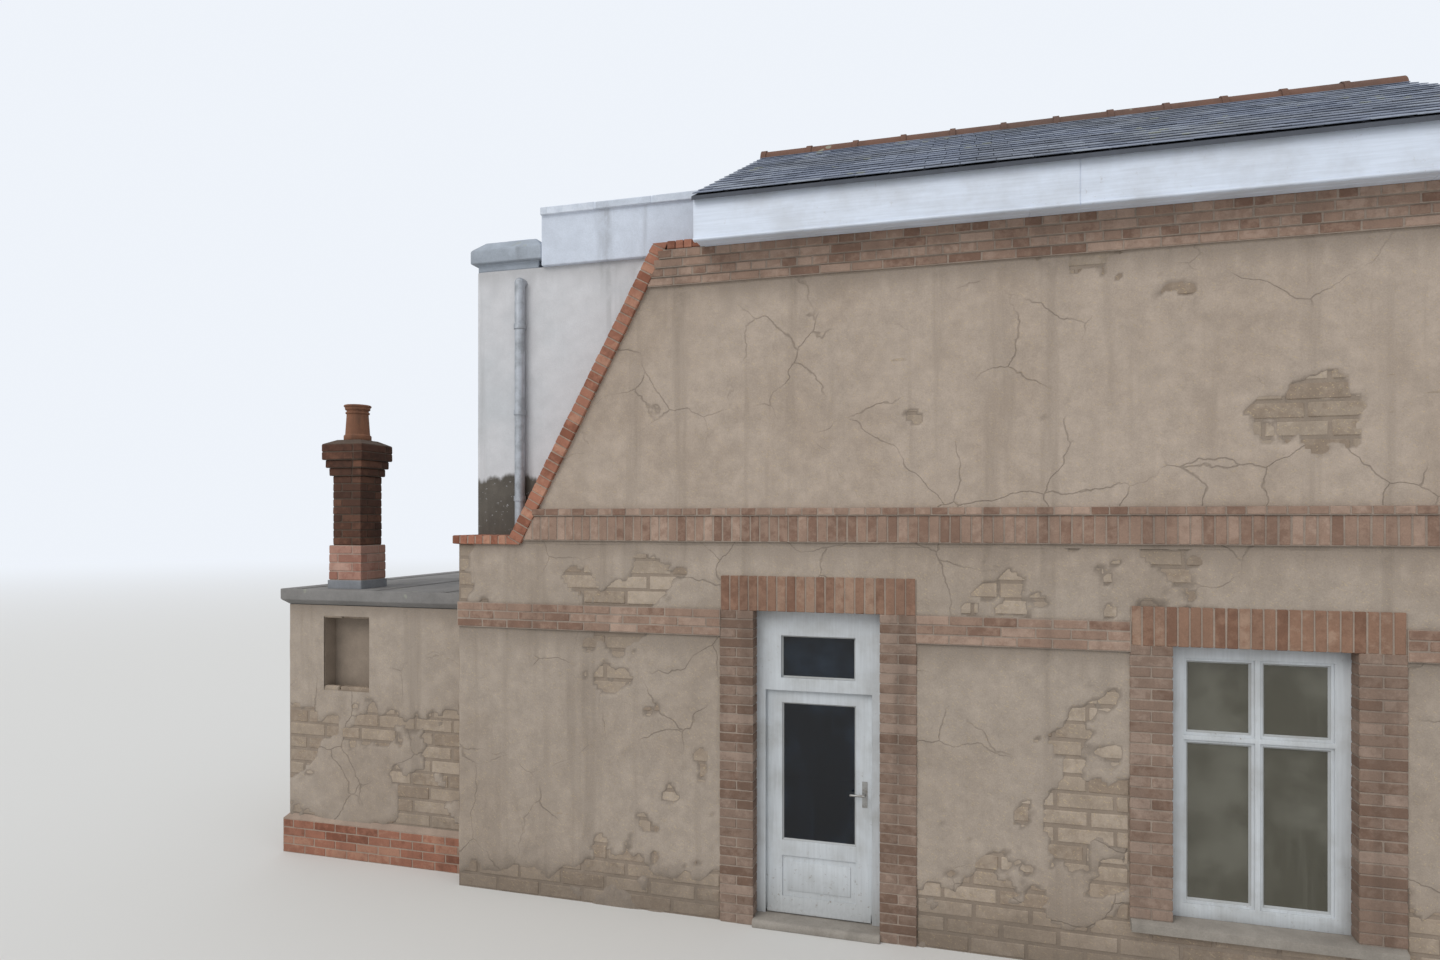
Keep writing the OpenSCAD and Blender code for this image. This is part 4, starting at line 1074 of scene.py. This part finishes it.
def paint_wear(net, given):
    """Brushed paint over wood: fine grain drawn out upwards or, where Level is 1, along X; small
    chips and a film of dust, both thicker near the ground."""
    upright = net.noise(60.0, squash=(1.0, 1.0, 0.05))
    level = net.noise(60.0, squash=(0.05, 1.0, 1.0))
    brushed = net.times_plus(net.maths("SUBTRACT", level, upright), given["Level"], upright)
    height = net.height()
    where = net.most(net.ranged(net.noise(2.3, 3.0), 0.45, 0.7),
                     net.ranged(height, 0.10, 0.75, 1.0, 0.0))
    chips = net.times(net.ranged(net.noise(30.0, 6.0, 0.75), 0.60, 0.65), where)
    chips = net.times(chips, given["Wear"])
    dust = net.most(net.ranged(net.noise(3.0, 5.0), 0.35, 0.75),
                    net.ranged(height, 0.05, 0.45, 0.9, 0.0))
    colour = net.blend(net.times(dust, given["Dust"]), given["Paint"], given["Dust Colour"])
    colour = net.shaded(colour, net.ranged(brushed, 0.3, 0.7, 0.94, 1.04))
    return (net.blend(chips, colour, given["Wood"]), net.ranged(chips, 0.0, 1.0, 0.42, 0.85),
            net.times_plus(brushed, 0.4, net.times(chips, -0.6)))


def glass_film(net, given):
    """A film that lies in clouds and in dried rain runs, which pales the tint and dulls the
    shine, over the slow waves of old glass."""
    runs = net.ranged(net.noise(16.0, squash=RUNS_DOWN), 0.5, 0.75, 0.0, 0.45)
    dulled = net.most(net.ranged(net.noise(1.7), 0.42, 0.68), runs)
    return (net.blend(dulled, given["Tint"], given["Film"]),
            net.ranged(dulled, 0.0, 1.0, 0.03, 0.09), net.noise(3.5, 1.0))


def metal_dulling(net, given):
    """Cloudy patches that dull and roughen a metal, and shallow dents."""
    patches = net.ranged(net.noise(9.0, 6.0, 0.7), 0.35, 0.7)
    return (net.blend(patches, given["Colour"], given["Dull"]),
            net.times_plus(patches, 0.25, given["Roughness"]), net.noise(24.0, 3.0))


def grey(level):
    """A grey as linear light."""
    return (level, level, level, 1.0)


def shader_group(name, build, **inputs):
    """A node group with named sockets: a colour where the first value is a tuple, a number
    elsewhere. build gets a net and the inputs, and returns the colour alone, or the colour, the
    roughness and the height."""
    tree = bpy.data.node_groups.new(name, "ShaderNodeTree")
    kinds = {True: "NodeSocketColor", False: "NodeSocketFloat"}
    for key, value in inputs.items():
        socket = tree.interface.new_socket(key.replace("_", " "), in_out="INPUT",
                                           socket_type=kinds[isinstance(value, tuple)])
        socket.default_value = value
    given = tree.nodes.new("NodeGroupInput").outputs
    results = dict(zip(("Colour", "Roughness", "Height"), build(Net(tree), given)))
    for label in results:
        tree.interface.new_socket(label, in_out="OUTPUT", socket_type=kinds[label == "Colour"])
    end = tree.nodes.new("NodeGroupOutput")
    for label, result in results.items():
        tree.links.new(result, end.inputs[label])
    return tree


weather_group = shader_group(
    "weathered_surface", weathering, Colour=grey(0.5), Patch_Colour=grey(0.4),
    Stain_Colour=grey(0.2), Patches=0.5, Streaks=0.25, Damp=0.0, Grain=1.0, Cracks=0.0, Straw=0.0,
    Lichen=0.0)
tone_group = shader_group("tones_by_piece", piece_tones, Dark=grey(0.2), Middle=grey(0.4),
                          Light=grey(0.6))
paint_group = shader_group("painted_wood", paint_wear, Paint=grey(0.6), Wood=grey(0.2),
                           Dust_Colour=grey(0.4), Wear=0.5, Dust=0.3, Level=0.0)
film_group = shader_group("filmed_glass", glass_film, Tint=grey(0.1), Film=grey(0.3))
metal_group = shader_group("dulled_metal", metal_dulling, Colour=grey(0.5), Dull=grey(0.3),
                           Roughness=0.5)
finishes = {}


def material(name):
    """A new material, kept by name. Returns its net and its shader."""
    made = finishes[name] = bpy.data.materials.new(name)
    made.use_nodes = True
    return Net(made.node_tree), made.node_tree.nodes["Principled BSDF"]


def finish_surface(net, shader, group, distance, strength=0.6, colour=None):
    """A group's colour, or another, its roughness and its height joined to the shader, the height
    through a bump."""
    colour = group.outputs["Colour"] if colour is None else colour
    bump = net.add("ShaderNodeBump", Height=group.outputs["Height"], Strength=strength,
                   Distance=distance)
    net.feed(shader.inputs["Base Color"], colour)
    net.feed(shader.inputs["Roughness"], group.outputs["Roughness"])
    net.feed(shader.inputs["Normal"], bump.outputs[0])


def masonry(name, base, patch, stain_and_shade, upper=None, distance=0.006, **amounts):
    """A mineral surface. base is one colour, or a list of a dark, a middle and a light one for
    separate pieces. upper gives the base and patch colours of the upper storey, into which the
    others pass with height."""
    net, shader = material(name)
    if upper:
        raised = net.ranged(net.height(), STOREY_Z - 0.5, STOREY_Z + 0.4)
        base, patch = (net.blend(raised, linear(low), linear(high))
                       for low, high in zip((base, patch), upper))
    if isinstance(base, list):
        base = net.group(tone_group, Dark=base[0], Middle=base[1], Light=base[2]).outputs[0]
    group = net.group(weather_group, Colour=base, Patch_Colour=patch, Stain_Colour=stain_and_shade,
                      **amounts)
    finish_surface(net, shader, group, distance)
    shader.inputs["Specular IOR Level"].default_value = 0.25


def painted(name, paint, wood, dust, **amounts):
    """Painted joinery, whose grain stands upright, or lies level where Level is 1."""
    net, shader = material(name)
    group = net.group(paint_group, Paint=paint, Wood=wood, Dust_Colour=dust, **amounts)
    finish_surface(net, shader, group, 0.0012, 0.5)


def dark_glass(name, tint, film, clear):
    """Old window glass under a film. clear is how much light goes through it."""
    net, shader = material(name)
    shader.inputs["IOR"].default_value = 1.45
    shader.inputs["Transmission Weight"].default_value = clear
    shader.inputs["Specular IOR Level"].default_value = 0.2
    finish_surface(net, shader, net.group(film_group, Tint=tint, Film=film), 0.01, 0.08)


def bare_metal(name, colour, dull, roughness, metallic):
    """Zinc or iron with dull patches."""
    net, shader = material(name)
    shader.inputs["Metallic"].default_value = metallic
    group = net.group(metal_group, Colour=colour, Dull=dull, Roughness=roughness)
    finish_surface(net, shader, group, 0.002, 0.3)


def limewash(name, base, patch, stain_and_shade, tar, worn_tar):
    """Limewash with grey streaks, over a tarred foot with a ragged edge, lime runs and bare
    spots."""
    tar_top, tar_edge = 3.58, 0.06
    net, shader = material(name)
    lime = net.group(weather_group, Colour=base, Patch_Colour=patch, Stain_Colour=stain_and_shade,
                     Patches=0.6, Streaks=0.5, Grain=0.55)
    coated = net.group(weather_group, Colour=tar, Patch_Colour=worn_tar, Stain_Colour=worn_tar,
                       Patches=0.7, Streaks=0.5)
    runs = net.ranged(net.noise(5.0, squash=(1.0, 1.0, 0.05)), 0.40, 0.8, 0.0, 0.10)
    rise = net.maths("ADD", runs, net.times_plus(net.noise(5.0), 0.12, net.height()))
    low = net.ranged(rise, tar_top, tar_top + tar_edge, 1.0, 0.0)
    tarred = net.times(low, net.ranged(net.noise(24.0, 5.0, 0.7), 0.60, 0.68, 1.0, 0.35))
    colour = net.blend(tarred, lime.outputs["Colour"], coated.outputs["Colour"])
    finish_surface(net, shader, lime, 0.006, 0.5, colour)


def make_materials():
    """Every finish on the house."""
    # damp is also the colour of the painted shade below ledges and in the mud coat's cracks
    soot, damp = (52, 48, 44), (104, 94, 84)
    masonry("mud_coat", (161, 149, 137), (147, 134, 121), damp, Patches=0.65, Streaks=0.38,
            Damp=0.6, Cracks=0.6, Straw=0.45, distance=0.010,
            upper=((171, 157, 144), (157, 142, 128)))
    masonry("adobe_block", [(140, 125, 110), (156, 142, 127), (170, 156, 141)], (146, 130, 114),
            damp, Patches=0.35, Streaks=0.3, Damp=0.5, Straw=0.6)
    masonry("mud_joint", (142, 129, 116), (128, 115, 102), damp, Streaks=0.2, Damp=0.5)
    masonry("band_brick", [(112, 90, 77), (132, 112, 99), (150, 131, 118)], (118, 100, 88), soot,
            Patches=0.35, Streaks=0.3, Damp=0.1)
    masonry("string_brick", [(124, 98, 84), (146, 122, 107), (164, 141, 126)], (132, 110, 96),
            soot, Patches=0.35, Streaks=0.3)
    masonry("red_brick", [(128, 82, 64), (158, 108, 88), (176, 132, 110)], (140, 104, 88), soot,
            Patches=0.3, Damp=0.2)
    masonry("lintel_brick", [(118, 88, 72), (138, 108, 90), (154, 128, 110)], (130, 104, 90),
            soot, Patches=0.3, Damp=0.2)
    masonry("pink_brick", [(146, 104, 90), (164, 126, 112), (176, 144, 130)], (150, 118, 104),
            soot, Patches=0.4, Streaks=0.3)
    masonry("sooty_brick", [(66, 44, 34), (84, 56, 44), (110, 76, 60)], (70, 52, 44), soot,
            Streaks=0.4)
    masonry("slate", [(108, 116, 132), (127, 135, 152), (147, 155, 169)], (104, 104, 100),
            (70, 70, 62), Patches=0.35, Streaks=0.3, Grain=0.8, Lichen=0.55, distance=0.003)
    # Pale coping stones with a blue cast that is a painted sky reflection
    masonry("coping_wash", [(186, 194, 206), (198, 206, 218), (208, 215, 226)], (180, 188, 200),
            (134, 136, 140), Patches=0.4, Streaks=0.6, Grain=0.7)
    masonry("clay", (126, 88, 68), (98, 68, 54), soot, Patches=0.7, Streaks=0.6)
    masonry("ridge_clay", (112, 84, 72), (92, 78, 72), soot, Patches=0.6, Streaks=0.5, Lichen=0.6)
    masonry("cap_stone", (158, 166, 176), (138, 144, 152), (96, 98, 100), Patches=0.6,
            Streaks=0.6, Lichen=0.3)
    masonry("step_stone", (150, 144, 136), (128, 122, 114), (88, 82, 76), Patches=0.6, Streaks=0.3)
    # Pale limewash with a blue cast that is a painted sky reflection
    masonry("parapet_wash", (206, 214, 227), (192, 200, 213), (140, 142, 146), Patches=0.6,
            Streaks=0.6, Grain=0.6)
    masonry("flat_roof", (130, 128, 126), (112, 110, 108), (82, 80, 77), Patches=0.8, Streaks=0.0,
            Lichen=0.4)
    masonry("felt_lap", (117, 115, 113), (102, 100, 98), (80, 78, 75), Patches=0.8, Streaks=0.0)
    masonry("lead", (128, 131, 136), (150, 152, 155), (96, 97, 99), Patches=0.7, Streaks=0.5,
            distance=0.003)
    for name, base, patch in (("band_joint", (152, 138, 126), (120, 106, 96)),
                              ("red_joint", (158, 140, 126), (138, 120, 108)),
                              ("pink_joint", (166, 146, 134), (140, 124, 114)),
                              ("sooty_joint", (88, 74, 64), (68, 58, 50)),
                              ("slate_bed", (84, 88, 96), (70, 72, 78)),
                              ("earth_floor", (112, 98, 84), (94, 82, 70))):
        masonry(name, base, patch, soot)
    # The limewash's third colour, grey, is also the painted shade below the top of the room's walls
    limewash("limewash", (200, 200, 203), (184, 188, 192), (140, 140, 140), (80, 75, 68),
             (112, 106, 98))
    painted("boards", (128, 104, 80), (90, 70, 52), (120, 108, 96), Wear=0.2, Dust=0.5, Level=1.0)
    # Pale paint with a blue cast that is a painted sky reflection
    painted("pale_paint", (214, 223, 237), (140, 120, 100), (176, 178, 182), Wear=0.35, Dust=0.45,
            Level=1.0)
    painted("frame_paint", (194, 199, 203), (118, 100, 84), (146, 144, 138), Wear=0.7, Dust=0.5)
    painted("putty", (172, 175, 176), (128, 118, 106), (146, 144, 138), Wear=0.3, Dust=0.5)
    dark_glass("glass", (52, 62, 76), (92, 118, 146), clear=0.92)
    dark_glass("dusty_glass", (126, 123, 108), (158, 156, 142), clear=0.66)
    bare_metal("zinc", (178, 182, 188), (150, 154, 158), roughness=0.45, metallic=0.6)
    bare_metal("iron", (168, 168, 166), (126, 120, 112), roughness=0.35, metallic=0.8)


# The pieces and nodes that wear each finish. A node that isn't here is a wall of earth.
WORN_BY = {
    "mud_coat": "lower_mud_coat upper_mud_coat gable_mud_coat wing_mud_coat",
    "adobe_block": "front_blocks back_blocks right_end_blocks left_end_blocks left_gable_blocks "
                   "wing_blocks",
    "limewash": "limewash_coat room_front_wall room_left_wall room_back_wall stack",
    "band_brick": "jamb_bricks",
    "string_brick": "band_bricks",
    "lintel_brick": "lintel_bricks",
    "red_brick": "coping_bricks plinth_bricks",
    "pink_brick": "flue_base_bricks",
    "sooty_brick": "flue_shaft_bricks flue_head_bricks",
    "band_joint": "brick_jambs lintels string_bands",
    "red_joint": "wall_coping wing_plinth",
    "pink_joint": "flue_base",
    "sooty_joint": "flue_shaft flue_head",
    "slate": "front_slates back_slates",
    "slate_bed": "roof_front roof_back",
    "ridge_clay": "ridge_tiles",
    "clay": "clay_pot flue_pot",
    "cap_stone": "cap_stone stack_cap",
    "step_stone": "sill_stone threshold_stone threshold window_sill",
    "parapet_wash": "parapet_wall room_parapet",
    "coping_wash": "parapet_coping",
    "flat_roof": "wing_roof_deck wing_roof room_roof",
    "felt_lap": "felt_laps",
    "lead": "lead_flashings",
    "earth_floor": "floor_slab",
    "boards": "upper_floor",
    "pale_paint": "fascia_boards soffit_boards fascias soffits",
    "frame_paint": "door_frame_wood door_leaf_wood window_frame_wood door_frame door_leaf "
                   "window_frame",
    "putty": "frame_putty leaf_putty",
    "glass": "top_light_pane door_glass fixed_glass",
    "dusty_glass": "window_panes",
    "zinc": "downpipe",
    "iron": "door_handle"}


def dress():
    """Every node and new piece gets its finish."""
    wears = {name: finish for finish, names in WORN_BY.items() for name in names.split()}
    for name, node in frame["nodes"].items():
        finish = finishes[wears.pop(name, "mud_joint")]
        for slot in node.material_slots:
            slot.material = finish
        if not node.material_slots:
            node.data.materials.append(finish)
    for name, finish in wears.items():
        bpy.data.objects[name].data.materials.append(finishes[finish])


# Studio

SEEN_SKY = (0.86, 0.90, 0.96, 1.0)
SKY_LIGHT = (0.93, 0.96, 1.0, 1.0)
FLOOR_REACH = 400.0
HAZE = (14.0, 75.0)


def seen_rays(net):
    """1 for the rays that show a background: the camera's, and those off gloss or through
    glass."""
    rays = net.add("ShaderNodeLightPath").outputs
    return net.most(net.most(rays["Is Camera Ray"], rays["Is Glossy Ray"]),
                    rays["Is Transmission Ray"])


def build_studio():
    """A pale floor that fades into the distance, a soft sky that is seen as nearly white, and one
    soft sun."""
    floor = bpy.data.meshes.new("studio_floor")
    floor.from_pydata([(x * FLOOR_REACH, y * FLOOR_REACH, 0)
                       for x, y in ((-1, -1), (1, -1), (1, 1), (-1, 1))], [], [(0, 1, 2, 3)])
    floor_object = placed("studio_floor", floor)
    net, shader = material("studio_floor")
    shader.inputs["Base Color"].default_value = linear((214, 213, 210))
    shader.inputs["Roughness"].default_value = 0.9
    away = net.vectors("LENGTH", net.coords).outputs["Value"]
    glow = net.add("ShaderNodeEmission", Color=SEEN_SKY)
    mix = net.add("ShaderNodeMixShader", net.times(net.ranged(away, *HAZE), seen_rays(net)),
                  shader.outputs[0], glow.outputs[0])
    net.feed(net.tree.nodes["Material Output"].inputs["Surface"], mix.outputs[0])
    floor.materials.append(finishes["studio_floor"])

    world = bpy.data.worlds.new("studio_sky")
    bpy.context.scene.world = world
    world.use_nodes = True
    net, background = Net(world.node_tree), world.node_tree.nodes["Background"]
    seen = seen_rays(net)
    net.feed(background.inputs["Color"], net.blend(seen, SKY_LIGHT, SEEN_SKY))
    net.feed(background.inputs["Strength"], net.ranged(seen, 0.0, 1.0, 0.78, 1.0))

    lamp = bpy.data.lights.new("soft_sun", "SUN")
    lamp.energy = 1.25
    lamp.angle = math.radians(40)
    lamp.color = (1.0, 0.97, 0.93)
    placed("soft_sun", lamp).rotation_euler = (math.radians(48), 0, math.radians(-28))


def build_camera():
    """The photo's view: from an upper floor across the way, with upright lines kept upright."""
    lens = bpy.data.cameras.new("street_view")
    lens.sensor_width = 36.0
    lens.lens = 21.6
    lens.shift_y = 0.0278
    lens.clip_end = 200.0
    camera = placed("street_view", lens)
    camera.location = (1.117, -6.545, 3.15)
    camera.rotation_euler = (math.radians(90), 0, math.radians(16))
    bpy.context.scene.camera = camera


for build in (build_camera, build_studio, build_walls, build_coats, build_jambs, build_bands,
              build_coping, build_plinth, build_flue, build_joinery, build_trim, build_eaves,
              build_roofing, build_slates, make_materials, dress):
    build()
bpy.context.scene.view_settings.view_transform = "Standard"
